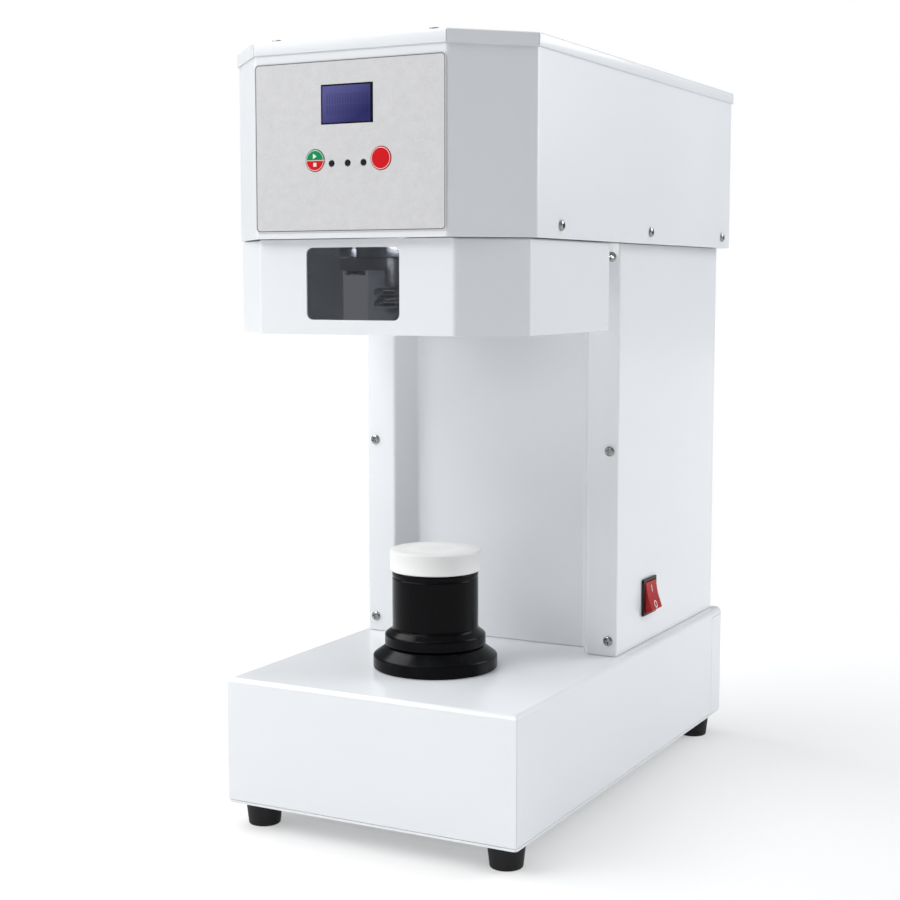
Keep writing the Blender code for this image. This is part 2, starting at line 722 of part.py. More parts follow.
def make_casing(paint):
    outline = casing_plan()
    walls = prism([outline, stepped_out(outline, -SHEET)], HEAD_LEVEL, CASING_TOP)
    casing = add("upper_casing", walls, paint)
    rim = 2 * (DISPLAY_RIM + GAP)
    loops = [
        rectangle(DISPLAY_X, DISPLAY_LEVEL, DISPLAY_WIDTH + rim, DISPLAY_HEIGHT + rim),
        circle(START_X, BUTTON_LEVEL, START_RADIUS + GAP, 24),
        circle(EMERGENCY_X, BUTTON_LEVEL, EMERGENCY_RADIUS + GAP, 24),
    ]
    loops += [circle(x, LAMP_LEVEL, LAMP_RADIUS + GAP, 12) for x in LAMP_XS]
    cutters = [prism([loop], CASING_FRONT - PASS, CASING_FRONT + SHEET + PASS, "Y") for loop in loops]
    cut(casing, several(cutters))
    stud_radius = 2.5 * MM
    board_front = CASING_FRONT + SHEET + BOARD_SETBACK
    studs = []
    for x, z in board_corners():
        outline = circle(x, z, stud_radius, 8)
        studs.append(prism([outline], CASING_FRONT + SHEET / 2, board_front - GAP, "Y"))
    join(casing, several(studs))
    places = [(y, CASING_SCREW_LEVEL) for y in CASING_SCREW_YS]
    half = CASING_WIDTH / 2
    add_screw_heads(casing, places, half - SHEET / 2, half + SCREW_HEAD_HEIGHT, "X")
    add_screw_heads(casing, places, -half - SCREW_HEAD_HEIGHT, -half + SHEET / 2, "X")

    outer = stepped_out(casing_plan(), LID_OVERHANG)
    lid = add("lid", prism([outer], SKIRT_LEVEL, TOP_LEVEL), paint)
    inside = stepped_out(casing_plan(), GAP)
    cut(lid, prism([inside], SKIRT_LEVEL - PASS, TOP_LEVEL - LID_SHEET))
    places = [(x * side, y) for x, y in LID_SCREWS for side in (1, -1)]
    add_screw_heads(lid, places, TOP_LEVEL - LID_SHEET / 2, TOP_LEVEL + SCREW_HEAD_HEIGHT, "Z")


def make_guard(paint, smoke):
    front = CASING_FRONT + GUARD_SETBACK
    outline = chamfered_plan(
        GUARD_WIDTH, GUARD_FRONT_WIDTH, front, GUARD_CHAMFER_DEPTH, GUARD_BACK
    )
    path = [outline[4], outline[5], outline[0], outline[1], outline[2], outline[3]]
    top = HEAD_LEVEL - GAP
    guard = add("head_guard", prism([strip(path, GUARD_FLANGE)], GUARD_BOTTOM, top), paint)
    inside = stepped_out(outline, -SHEET)
    inside[3] = (inside[3][0], GUARD_BACK + PASS)
    inside[4] = (inside[4][0], GUARD_BACK + PASS)
    cut(guard, prism([inside], GUARD_BOTTOM - PASS, top - SHEET))
    window = rounded_rectangle(WINDOW_X, WINDOW_LEVEL, WINDOW_WIDTH, WINDOW_HEIGHT, WINDOW_RADIUS)
    cut(guard, prism([window], front - PASS, front + SHEET + PASS, "Y"))
    pane = rounded_rectangle(
        WINDOW_X,
        WINDOW_LEVEL,
        WINDOW_WIDTH + 2 * PANE_BORDER,
        WINDOW_HEIGHT + 2 * PANE_BORDER,
        WINDOW_RADIUS,
    )
    near = front + SHEET + GAP
    add("window_pane", prism([pane], near, near + PANE_THICKNESS, "Y"), smoke)


# ---------------------------------------------------------------- control panel


def board_corners():
    width = 48 * MM
    return [(side * width, DISPLAY_LEVEL + dz) for side in (-1, 1) for dz in (-46 * MM, 14 * MM)]


def make_control_panel(overlay, glass, board_green, black, red, green):
    sheet_back = CASING_FRONT - GAP
    sheet_front = sheet_back - PANEL_SHEET
    loops = [
        rounded_rectangle(0, PANEL_LEVEL, PANEL_WIDTH, PANEL_HEIGHT, PANEL_RADIUS),
        rectangle(DISPLAY_X, DISPLAY_LEVEL, DISPLAY_WIDTH, DISPLAY_HEIGHT),
        circle(START_X, BUTTON_LEVEL, START_RADIUS + GAP, 24),
        circle(EMERGENCY_X, BUTTON_LEVEL, EMERGENCY_RADIUS + GAP, 24),
    ]
    loops += [circle(x, LAMP_LEVEL, LAMP_RADIUS + GAP, 12) for x in LAMP_XS]
    add("control_overlay", prism(loops, sheet_front, sheet_back, "Y"), overlay)

    board_front = CASING_FRONT + SHEET + BOARD_SETBACK
    module = rectangle(
        DISPLAY_X, DISPLAY_LEVEL, DISPLAY_WIDTH + 2 * DISPLAY_RIM, DISPLAY_HEIGHT + 2 * DISPLAY_RIM
    )
    add("display_module", prism([module], CASING_FRONT, board_front - GAP, "Y"), glass)

    board_middle = DISPLAY_LEVEL - 16 * MM
    outline = rectangle(0, board_middle, 110 * MM, 72 * MM)
    board = add(
        "display_board", prism([outline], board_front, board_front + BOARD_SHEET, "Y"), board_green
    )
    button_back = button_depth() + BUTTON_FLANGE
    switch_front = sheet_front - BUTTON_PROUD + button_back + BUTTON_TRAVEL + GAP
    switch_size = 8 * MM
    switches = []
    for x in (START_X, EMERGENCY_X):
        square = rectangle(x, BUTTON_LEVEL, switch_size, switch_size)
        switches.append(prism([square], switch_front, board_front + BOARD_SHEET / 2, "Y"))
    join(board, several(switches))

    front = sheet_front - BUTTON_PROUD
    names = (
        ("start_button", START_X, START_RADIUS, green),
        ("emergency_button", EMERGENCY_X, EMERGENCY_RADIUS, red),
    )
    for name, x, radius, finish in names:
        button = add(name, button_cap(radius), finish, (x, front, BUTTON_LEVEL))
        button.rotation_euler = (math.pi / 2, 0, 0)

    lamp_front = sheet_front
    lamp_length = board_front - GAP - lamp_front
    edge = 0.4 * MM
    for name, x in zip(("lamp_left", "lamp_middle", "lamp_right"), LAMP_XS):
        profile = [
            (0, 0),
            (LAMP_RADIUS - edge, 0),
            (LAMP_RADIUS, -edge),
            (LAMP_RADIUS, -lamp_length),
            (0, -lamp_length),
        ]
        lamp = add(name, turned(profile, 12), black, (x, lamp_front, LAMP_LEVEL))
        lamp.rotation_euler = (math.pi / 2, 0, 0)


def button_depth():
    """From a button's face to the back of the casing wall that it passes through."""
    return BUTTON_PROUD + PANEL_SHEET + GAP + SHEET + GAP


def button_cap(radius):
    """Turned about Z with its face at 0, so that it looks out along +Z."""
    edge = 0.4 * MM
    depth = button_depth()
    profile = [
        (0, 0),
        (radius - edge, 0),
        (radius, -edge),
        (radius, -depth),
        (radius + BUTTON_LIP, -depth),
        (radius + BUTTON_LIP, -depth - BUTTON_FLANGE),
        (0, -depth - BUTTON_FLANGE),
    ]
    return turned(profile)


# ---------------------------------------------------------------- seaming head levels

HOUSING_BOTTOM = HEAD_LEVEL + GAP
HOUSING_TOP = HOUSING_BOTTOM + HOUSING_LENGTH
DISC_TOP = HEAD_LEVEL - DISC_CLEARANCE
DISC_BOTTOM = DISC_TOP - DISC_THICKNESS
ARM_TOP = DISC_BOTTOM - GAP
ARM_BOTTOM = ARM_TOP - ARM_THICKNESS
CHUCK_TOP = ARM_BOTTOM - 9.7 * MM
CHUCK_BOTTOM = CHUCK_TOP - CHUCK_HEIGHT
ROLLER_TOP = CHUCK_BOTTOM + 16.5 * MM
ROLLER_BOTTOM = ROLLER_TOP - ROLLER_HEIGHT
PULLEY_LEVEL = HOUSING_TOP + 3 * MM
ROTOR_TOP = PULLEY_LEVEL + PULLEY_WIDTH + GAP
CAM_PULLEY_LEVEL = PULLEY_LEVEL + PULLEY_WIDTH + 4 * MM
SLEEVE_TOP = CAM_PULLEY_LEVEL + PULLEY_WIDTH + GAP
BRIDGE_TOP = SLEEVE_TOP + BRIDGE_SHEET + 3 * MM
CAM_RADIUS = FOLLOWER_ORBIT - FOLLOWER_RADIUS - GAP


def pulley_profile(level, seat, bore, width=PULLEY_WIDTH, rim=3 * MM):
    """A flanged belt pulley with its lower face at a level."""
    top = level + width
    return [
        (bore, level),
        (seat + rim, level),
        (seat + rim, level + PULLEY_FLANGE),
        (seat, level + PULLEY_FLANGE),
        (seat, top - PULLEY_FLANGE),
        (seat + rim, top - PULLEY_FLANGE),
        (seat + rim, top),
        (bore, top),
    ]


def belt(level, width, first, second):
    """A flat belt round two pulleys, each (x, y, radius), between their flanges."""
    clear = PULLEY_FLANGE + 0.5 * MM
    inner = around_circles([(x, y, r + GAP) for x, y, r in (first, second)], 36)
    outer = around_circles([(x, y, r + GAP + BELT_THICKNESS) for x, y, r in (first, second)], 36)
    return prism([outer, inner], level + clear, level + width - clear)


def make_head_frame(steel, bright, black):
    centre = (0, AXIS_Y, 0)
    lower_seat = HOUSING_BOTTOM + BEARING_WIDTH + GAP
    upper_seat = HOUSING_TOP - BEARING_WIDTH - GAP
    bore = BEARING_RADIUS + GAP
    shoulder = ROTOR_SHAFT_RADIUS + 2.5 * MM
    flange_low = HEAD_LEVEL + HEAD_PLATE + GAP
    flange_high = flange_low + 8 * MM
    profile = [
        (bore, HOUSING_BOTTOM),
        (HOUSING_RADIUS, HOUSING_BOTTOM),
        (HOUSING_RADIUS, flange_low),
        (HOUSING_FLANGE_RADIUS, flange_low),
        (HOUSING_FLANGE_RADIUS, flange_high),
        (HOUSING_RADIUS, flange_high),
        (HOUSING_RADIUS, HOUSING_TOP),
        (bore, HOUSING_TOP),
        (bore, upper_seat),
        (shoulder, upper_seat),
        (shoulder, lower_seat),
        (bore, lower_seat),
    ]
    add("bearing_housing", turned(profile), steel, centre)
    inner = ROTOR_SHAFT_RADIUS + GAP
    for name, low in (
        ("lower_bearing", HOUSING_BOTTOM),
        ("upper_bearing", HOUSING_TOP - BEARING_WIDTH),
    ):
        ring = [
            (inner, low),
            (BEARING_RADIUS, low),
            (BEARING_RADIUS, low + BEARING_WIDTH),
            (inner, low + BEARING_WIDTH),
        ]
        add(name, turned(ring), bright, centre)

    shaft_foot = CHUCK_BOTTOM + 2 * MM
    seat_height = 3.5 * MM
    seat_radius = CENTRE_SHAFT_RADIUS + 3.5 * MM
    nut_low = BRIDGE_TOP + GAP
    profile = [
        (0, shaft_foot),
        (seat_radius, shaft_foot),
        (seat_radius, shaft_foot + seat_height),
        (CENTRE_SHAFT_RADIUS, shaft_foot + seat_height),
        (CENTRE_SHAFT_RADIUS, nut_low),
        (SHAFT_NUT_RADIUS, nut_low),
        (SHAFT_NUT_RADIUS, nut_low + SHAFT_NUT_HEIGHT),
        (0, nut_low + SHAFT_NUT_HEIGHT),
    ]
    add("centre_shaft", turned(profile), bright, centre)

    lip = 2 * MM
    counterbore = seat_radius + GAP
    shaft_bore = CENTRE_SHAFT_RADIUS + GAP
    seat_level = shaft_foot + seat_height + GAP
    profile = [
        (counterbore, CHUCK_BOTTOM),
        (CHUCK_RADIUS - lip, CHUCK_BOTTOM),
        (CHUCK_RADIUS, CHUCK_BOTTOM + lip),
        (CHUCK_RADIUS, CHUCK_TOP - 4 * lip),
        (CHUCK_RADIUS - lip, CHUCK_TOP - 3 * lip),
        (CHUCK_RADIUS - lip, CHUCK_TOP),
        (shaft_bore, CHUCK_TOP),
        (shaft_bore, seat_level),
        (counterbore, seat_level),
    ]
    add("seaming_chuck", turned(profile), bright, centre)

    leg_foot = HEAD_LEVEL + HEAD_PLATE + GAP
    span = BRIDGE_HALF_SPAN
    path = [(span, leg_foot), (span, BRIDGE_TOP), (-span, BRIDGE_TOP), (-span, leg_foot)]
    near = AXIS_Y - BRIDGE_DEPTH / 2
    bridge = add(
        "shaft_bridge", prism([strip(path, BRIDGE_SHEET)], near, near + BRIDGE_DEPTH, "Y"), steel
    )
    hole = circle(0, AXIS_Y, shaft_bore, 24)
    cut(bridge, prism([hole], BRIDGE_TOP - BRIDGE_SHEET - PASS, BRIDGE_TOP + PASS))

    motor_top = HEAD_LEVEL - GAP
    motor_bottom = motor_top - MOTOR_LENGTH
    shaft_hole = MOTOR_SHAFT_RADIUS + GAP
    seat = motor_top - 20 * MM
    bell = 6 * MM
    profile = [
        (0, motor_bottom),
        (MOTOR_RADIUS - bell, motor_bottom),
        (MOTOR_RADIUS, motor_bottom + bell),
        (MOTOR_RADIUS, motor_top - bell),
        (MOTOR_RADIUS - bell, motor_top),
        (shaft_hole, motor_top),
        (shaft_hole, seat),
        (0, seat),
    ]
    add("drive_motor", turned(profile), black, (0, MOTOR_Y, 0))


def make_drive(steel, bright, rubber):
    motor_axis = axis_at("motor_axis", (0, MOTOR_Y, 0))
    shaft_low = HEAD_LEVEL - GAP - 20 * MM + GAP
    shaft = [
        (0, shaft_low),
        (MOTOR_SHAFT_RADIUS, shaft_low),
        (MOTOR_SHAFT_RADIUS, SLEEVE_TOP),
        (0, SLEEVE_TOP),
    ]
    add("motor_shaft", turned(shaft), bright, parent=motor_axis)
    bore = MOTOR_SHAFT_RADIUS + GAP
    lower = pulley_profile(PULLEY_LEVEL, MOTOR_PULLEY_RADIUS, bore)
    upper = pulley_profile(CAM_PULLEY_LEVEL, MOTOR_PULLEY_RADIUS, bore)
    profile = lower[:-2] + upper[2:]
    add("motor_pulley", turned(profile), steel, parent=motor_axis)

    motor = (0, MOTOR_Y, MOTOR_PULLEY_RADIUS)
    for name, level, radius in (
        ("rotor_belt", PULLEY_LEVEL, ROTOR_PULLEY_RADIUS),
        ("cam_belt", CAM_PULLEY_LEVEL, CAM_PULLEY_RADIUS),
    ):
        add(name, belt(level, PULLEY_WIDTH, (0, AXIS_Y, radius), motor), rubber)


def polar(radius, angle):
    return radius * math.cos(angle), radius * math.sin(angle)


def make_rotor(steel, bright):
    rotor_axis = axis_at("rotor_axis", (0, AXIS_Y, 0))
    bore = SLEEVE_RADIUS + GAP
    profile = [
        (bore, DISC_BOTTOM),
        (DISC_RADIUS, DISC_BOTTOM),
        (DISC_RADIUS, DISC_TOP),
        (ROTOR_SHAFT_RADIUS, DISC_TOP),
        (ROTOR_SHAFT_RADIUS, ROTOR_TOP),
        (bore, ROTOR_TOP),
    ]
    rotor = add("rotor", turned(profile, 36), bright, parent=rotor_axis)
    lugs = []
    pins = []
    for angle in (FIRST_ARM_ANGLE, FIRST_ARM_ANGLE + math.pi):
        x, y = polar(ARM_PIVOT_RADIUS, angle)
        root_x, root_y = polar(ARM_PIVOT_RADIUS / 2, angle)
        lug = around_circles([(x, y, ARM_BOSS_RADIUS), (root_x, root_y, ARM_BOSS_RADIUS)], 24)
        lugs.append(prism([lug], DISC_BOTTOM + MM, DISC_TOP - MM))
        profile = [
            (0, DISC_BOTTOM + 2 * MM),
            (0, ARM_BOTTOM - 3.5 * MM),
            (ARM_PIN_HEAD, ARM_BOTTOM - 3.5 * MM),
            (ARM_PIN_HEAD, ARM_BOTTOM - GAP),
            (ARM_PIN_RADIUS, ARM_BOTTOM - GAP),
            (ARM_PIN_RADIUS, DISC_BOTTOM + 2 * MM),
        ]
        pins.append(shifted(turned(profile, 16), x, y))
    join(rotor, several(lugs))
    join(rotor, several(pins))
    profile = pulley_profile(PULLEY_LEVEL, ROTOR_PULLEY_RADIUS, ROTOR_SHAFT_RADIUS + GAP)
    add("rotor_pulley", turned(profile), steel, parent=rotor_axis)

    for i, groove in enumerate((FIRST_GROOVE, SECOND_GROOVE)):
        make_arm(i + 1, FIRST_ARM_ANGLE + i * math.pi, groove, rotor_axis, steel, bright)


def make_arm(number, angle, groove, rotor_axis, steel, bright):
    pivot = polar(ARM_PIVOT_RADIUS, angle)
    roller = polar(ROLLER_ORBIT, angle + ROLLER_ANGLE)
    follower = polar(FOLLOWER_ORBIT, angle - ROLLER_ANGLE)
    arm_axis = axis_at(f"arm_axis_{number}", (*pivot, 0), rotor_axis)
    roller_at = (roller[0] - pivot[0], roller[1] - pivot[1])
    follower_at = (follower[0] - pivot[0], follower[1] - pivot[1])
    lever = around_circles([(0, 0, ARM_BOSS_RADIUS), (*roller_at, ARM_END_RADIUS)])
    tail = around_circles([(0, 0, ARM_BOSS_RADIUS - MM), (*follower_at, FOLLOWER_RADIUS)])
    arm = add(f"seaming_arm_{number}", prism([lever], ARM_BOTTOM, ARM_TOP), steel, parent=arm_axis)
    join(arm, prism([tail], ARM_BOTTOM + MM, ARM_TOP - MM))
    pin_hole = circle(0, 0, ARM_PIN_RADIUS + GAP, 16)
    cut(arm, prism([pin_hole], ARM_BOTTOM - PASS, ARM_TOP + PASS))
    head = ROLLER_COLLAR - 0.5 * MM
    axle = [
        (0, ARM_BOTTOM + 2 * MM),
        (0, ROLLER_BOTTOM - GAP - 2.4 * MM),
        (head, ROLLER_BOTTOM - GAP - 2.4 * MM),
        (head, ROLLER_BOTTOM - GAP),
        (ROLLER_AXLE_RADIUS, ROLLER_BOTTOM - GAP),
        (ROLLER_AXLE_RADIUS, ROLLER_TOP + GAP),
        (ROLLER_COLLAR, ROLLER_TOP + GAP),
        (ROLLER_COLLAR, ARM_BOTTOM + 2 * MM),
    ]
    join(arm, shifted(turned(axle, 20), *roller_at))

    edge = 2 * MM
    middle = (ROLLER_TOP + ROLLER_BOTTOM) / 2
    bore = ROLLER_AXLE_RADIUS + GAP
    profile = [
        (bore, ROLLER_BOTTOM),
        (ROLLER_RADIUS - edge, ROLLER_BOTTOM),
        (ROLLER_RADIUS, ROLLER_BOTTOM + edge),
        (ROLLER_RADIUS, middle - edge),
        (ROLLER_RADIUS - groove, middle),
        (ROLLER_RADIUS, middle + edge),
        (ROLLER_RADIUS, ROLLER_TOP - edge),
        (ROLLER_RADIUS - edge, ROLLER_TOP),
        (bore, ROLLER_TOP),
    ]
    roller_axis = axis_at(f"roller_axis_{number}", (*roller_at, 0), arm_axis)
    add(f"seaming_roller_{number}", turned(profile, 20), bright, parent=roller_axis)


def cam_radius(angle):
    """The cam's round base with a smooth lobe for each arm, both turned well clear of the followers."""
    lobe_width = math.radians(40)
    radius = CAM_RADIUS
    first = FIRST_ARM_ANGLE + math.radians(78)
    second = first + math.pi + math.radians(8)
    for centre in (first, second):
        away = abs((angle - centre + math.pi) % (2 * math.pi) - math.pi)
        if away < lobe_width / 2:
            radius += CAM_LOBE * math.cos(math.pi * away / lobe_width) ** 2
    return radius


def make_cam(bright):
    cam_axis = axis_at("cam_axis", (0, AXIS_Y, 0))
    bore = CENTRE_SHAFT_RADIUS + GAP
    tube = [
        (bore, ARM_BOTTOM),
        (SLEEVE_RADIUS, ARM_BOTTOM),
        (SLEEVE_RADIUS, SLEEVE_TOP),
        (bore, SLEEVE_TOP),
    ]
    sleeve = add("cam_sleeve", turned(tube), bright, parent=cam_axis)
    steps = 48
    turns = [2 * math.pi * i / steps for i in range(steps)]
    outline = [polar(cam_radius(angle), angle) for angle in turns]
    middle = (bore + SLEEVE_RADIUS) / 2
    join(sleeve, prism([outline, circle(0, 0, middle, 24)], ARM_BOTTOM + MM, ARM_TOP - MM))
    join(sleeve, turned(pulley_profile(CAM_PULLEY_LEVEL, CAM_PULLEY_RADIUS, middle)))


# ---------------------------------------------------------------- can stand and lift

COLLAR_LOW = BASE_TOP - SHEET - 23 * MM
COLLAR_BASE = BASE_TOP + GAP
CONE_LEVEL = COLLAR_BASE + COLLAR_FLANGE_HEIGHT
COLLAR_TOP = CONE_LEVEL + COLLAR_CONE_HEIGHT
STAND_LOW = COLLAR_TOP + 0.4 * MM
WEB_TOP = STAND_LOW + 6 * MM
SPINDLE_TOP = STAND_LOW - GAP
LIFT_PLATE_TOP = LIFT_FRAME_LEVEL + LIFT_FRAME_SHEET
BLOCK_LOW = LIFT_PLATE_TOP + GAP
BLOCK_TOP = BLOCK_LOW + 12 * MM
SCREW_COLLAR_TOP = BLOCK_TOP + 2.7 * MM
NUT_LOW = SCREW_COLLAR_TOP + 4 * MM
NUT_HEIGHT = 14 * MM
LIFT_PULLEY_LEVEL = BASE_BOTTOM + 8 * MM
SCREW_TOP = NUT_LOW + LIFT_TRAVEL + NUT_HEIGHT + 7 * MM


def make_stand(black, bright, brass, white):
    centre = (0, AXIS_Y, 0)
    collar_bore = BUSH_RADIUS + GAP
    profile = [
        (collar_bore, COLLAR_LOW),
        (COLLAR_BOSS_RADIUS, COLLAR_LOW),
        (COLLAR_BOSS_RADIUS, COLLAR_BASE),
        (COLLAR_FLANGE_RADIUS, COLLAR_BASE),
        (COLLAR_FLANGE_RADIUS, CONE_LEVEL),
        (COLLAR_CONE_RADIUS, COLLAR_TOP),
        (collar_bore, COLLAR_TOP),
    ]
    add("stand_collar", turned(profile, 32), black, centre)
    bush_bore = SPINDLE_RADIUS + GAP
    bush = [
        (bush_bore, COLLAR_LOW),
        (BUSH_RADIUS, COLLAR_LOW),
        (BUSH_RADIUS, COLLAR_TOP),
        (bush_bore, COLLAR_TOP),
    ]
    add("guide_bush", turned(bush), brass, centre)

    tray_axis = axis_at("tray_axis", centre)
    stub = 8 * MM
    profile = [
        (SPINDLE_BORE, NUT_LOW),
        (SPINDLE_RADIUS, NUT_LOW),
        (SPINDLE_RADIUS, SPINDLE_TOP),
        (stub, SPINDLE_TOP),
        (stub, WEB_TOP + 4 * MM),
        (0, WEB_TOP + 4 * MM),
        (0, SPINDLE_TOP - 8 * MM),
        (SPINDLE_BORE, SPINDLE_TOP - 8 * MM),
    ]
    add("lift_spindle", turned(profile), bright, parent=tray_axis)
    nut_radius = SPINDLE_BORE - GAP
    nut = [
        (SCREW_RADIUS + GAP, NUT_LOW),
        (nut_radius, NUT_LOW),
        (nut_radius, NUT_LOW + NUT_HEIGHT),
        (SCREW_RADIUS + GAP, NUT_LOW + NUT_HEIGHT),
    ]
    add("lift_nut", turned(nut), brass, parent=tray_axis)

    edge = 1.7 * MM
    bead_top = STAND_LOW + BEAD_HEIGHT
    slope_top = bead_top + BEAD_SLOPE
    groove_low = TUBE_TOP - 5.4 * MM
    groove = 0.6 * MM
    tube_bore = TUBE_RADIUS - TUBE_WALL
    profile = [
        (stub + GAP, STAND_LOW),
        (BEAD_RADIUS - edge, STAND_LOW),
        (BEAD_RADIUS, STAND_LOW + edge),
        (BEAD_RADIUS, bead_top - edge),
        (BEAD_RADIUS - edge, bead_top),
        (TUBE_RADIUS, slope_top),
        (TUBE_RADIUS, groove_low),
        (TUBE_RADIUS - groove, groove_low + groove),
        (TUBE_RADIUS - groove, groove_low + 2 * groove),
        (TUBE_RADIUS, groove_low + 3 * groove),
        (TUBE_RADIUS, TUBE_TOP),
        (tube_bore, TUBE_TOP),
        (tube_bore, WEB_TOP),
        (stub + GAP, WEB_TOP),
    ]
    add("stand_tube", turned(profile, 32), black, parent=tray_axis)
    rim = TUBE_TOP + GAP
    spigot = tube_bore - GAP
    soft = 1.5 * MM
    profile = [
        (0, rim - 7 * MM),
        (spigot, rim - 7 * MM),
        (spigot, rim),
        (TRAY_RADIUS - soft, rim),
        (TRAY_RADIUS, rim + soft),
        (TRAY_RADIUS, TRAY_TOP - 2 * soft),
        (TRAY_RADIUS - 0.6 * soft, TRAY_TOP - 0.6 * soft),
        (TRAY_RADIUS - 2 * soft, TRAY_TOP),
        (0, TRAY_TOP),
    ]
    add("tray_disc", turned(profile, 32), white, parent=tray_axis)


def make_lift(steel, bright, black, rubber):
    centre = (0, AXIS_Y, 0)
    leg_foot = BASE_BOTTOM + BASE_PLATE_SHEET + GAP
    span = 60 * MM
    path = [(span, leg_foot), (span, LIFT_PLATE_TOP), (-span, LIFT_PLATE_TOP), (-span, leg_foot)]
    margin = 35 * MM
    outline = strip(path, LIFT_FRAME_SHEET)
    frame = add(
        "lift_frame", prism([outline], AXIS_Y - margin, LIFT_MOTOR_Y + margin, "Y"), steel
    )
    holes = [circle(0, y, SCREW_RADIUS + MM, 16) for y in (AXIS_Y, LIFT_MOTOR_Y)]
    drills = [prism([hole], LIFT_FRAME_LEVEL - PASS, LIFT_PLATE_TOP + PASS) for hole in holes]
    cut(frame, several(drills))

    bore = SCREW_RADIUS + GAP
    ring = [(bore, BLOCK_LOW), (16 * MM, BLOCK_LOW), (16 * MM, BLOCK_TOP), (bore, BLOCK_TOP)]
    add("screw_bearing", turned(ring), steel, centre)

    screw_axis = axis_at("screw_axis", centre)
    collar = 8 * MM
    low = LIFT_PULLEY_LEVEL - 2 * MM
    profile = [
        (0, low),
        (SCREW_RADIUS, low),
        (SCREW_RADIUS, BLOCK_TOP + GAP),
        (collar, BLOCK_TOP + GAP),
        (collar, SCREW_COLLAR_TOP),
        (SCREW_RADIUS, SCREW_COLLAR_TOP),
        (SCREW_RADIUS, SCREW_TOP),
        (0, SCREW_TOP),
    ]
    add("lead_screw", turned(profile), bright, parent=screw_axis)
    profile = pulley_profile(
        LIFT_PULLEY_LEVEL, SCREW_PULLEY_RADIUS, SCREW_RADIUS + GAP, LIFT_PULLEY_WIDTH, 2 * MM
    )
    add("screw_pulley", turned(profile), steel, parent=screw_axis)

    motor_shaft = 3 * MM
    hole = motor_shaft + GAP
    motor_top = BLOCK_LOW + LIFT_MOTOR_LENGTH
    depth = BLOCK_LOW + 15 * MM
    edge = 2 * MM
    profile = [
        (hole, BLOCK_LOW),
        (LIFT_MOTOR_RADIUS, BLOCK_LOW),
        (LIFT_MOTOR_RADIUS, motor_top - edge),
        (LIFT_MOTOR_RADIUS - edge, motor_top),
        (0, motor_top),
        (0, depth),
        (hole, depth),
    ]
    add("lift_motor", turned(profile), black, (0, LIFT_MOTOR_Y, 0))
    pulley = pulley_profile(
        LIFT_PULLEY_LEVEL, LIFT_PULLEY_RADIUS, motor_shaft, LIFT_PULLEY_WIDTH, 2 * MM
    )
    profile = [(0, low), (motor_shaft, low), *pulley]
    profile += [(motor_shaft, depth - GAP), (0, depth - GAP)]
    lift_axis = axis_at("lift_motor_axis", (0, LIFT_MOTOR_Y, 0))
    add("lift_motor_pulley", turned(profile), steel, parent=lift_axis)
    pulleys = ((0, AXIS_Y, SCREW_PULLEY_RADIUS), (0, LIFT_MOTOR_Y, LIFT_PULLEY_RADIUS))
    add("lift_belt", belt(LIFT_PULLEY_LEVEL, LIFT_PULLEY_WIDTH, *pulleys), rubber)


# ---------------------------------------------------------------- electrics


def make_electrics(board_green, steel):
    wall_x = -COLUMN_WIDTH / 2 + SHEET + GAP
    board_x = wall_x + 5 * MM
    middle_y = COLUMN_FRONT + 61 * MM
    level = HEAD_LEVEL - 170 * MM
    width = 62 * MM
    height = 140 * MM
    outline = rectangle(middle_y, level, width, height)
    board = add("control_board", prism([outline], board_x, board_x + BOARD_SHEET, "X"), board_green)
    pegs = []
    for side_y in (-1, 1):
        for side_z in (-1, 1):
            y = middle_y + side_y * (width / 2 - 6 * MM)
            z = level + side_z * (height / 2 - 6 * MM)
            pegs.append(prism([circle(y, z, 2.5 * MM, 8)], wall_x, board_x + BOARD_SHEET / 2, "X"))
    join(board, several(pegs))
    parts = []
    for y, z, size_y, size_z, tall in (
        (-12 * MM, 40 * MM, 22 * MM, 30 * MM, 16 * MM),
        (14 * MM, 20 * MM, 16 * MM, 16 * MM, 11 * MM),
        (0, -30 * MM, 40 * MM, 34 * MM, 9 * MM),
    ):
        outline = rectangle(middle_y + y, level + z, size_y, size_z)
        parts.append(prism([outline], board_x + BOARD_SHEET / 2, board_x + BOARD_SHEET + tall, "X"))
    join(board, several(parts))

    low = BASE_BOTTOM + BASE_PLATE_SHEET + GAP
    near = LIFT_MOTOR_Y + 60 * MM
    size = (100 * MM, 140 * MM, 40 * MM)
    case = block((-size[0] / 2, near, low), (size[0] / 2, near + size[1], low + size[2]))
    bmesh.ops.bevel(case, geom=list(case.edges), offset=MM, segments=1, affect="EDGES")
    add("power_supply", case, steel)


def clear_scene():
    for existing in list(bpy.data.objects):
        bpy.data.objects.remove(existing)


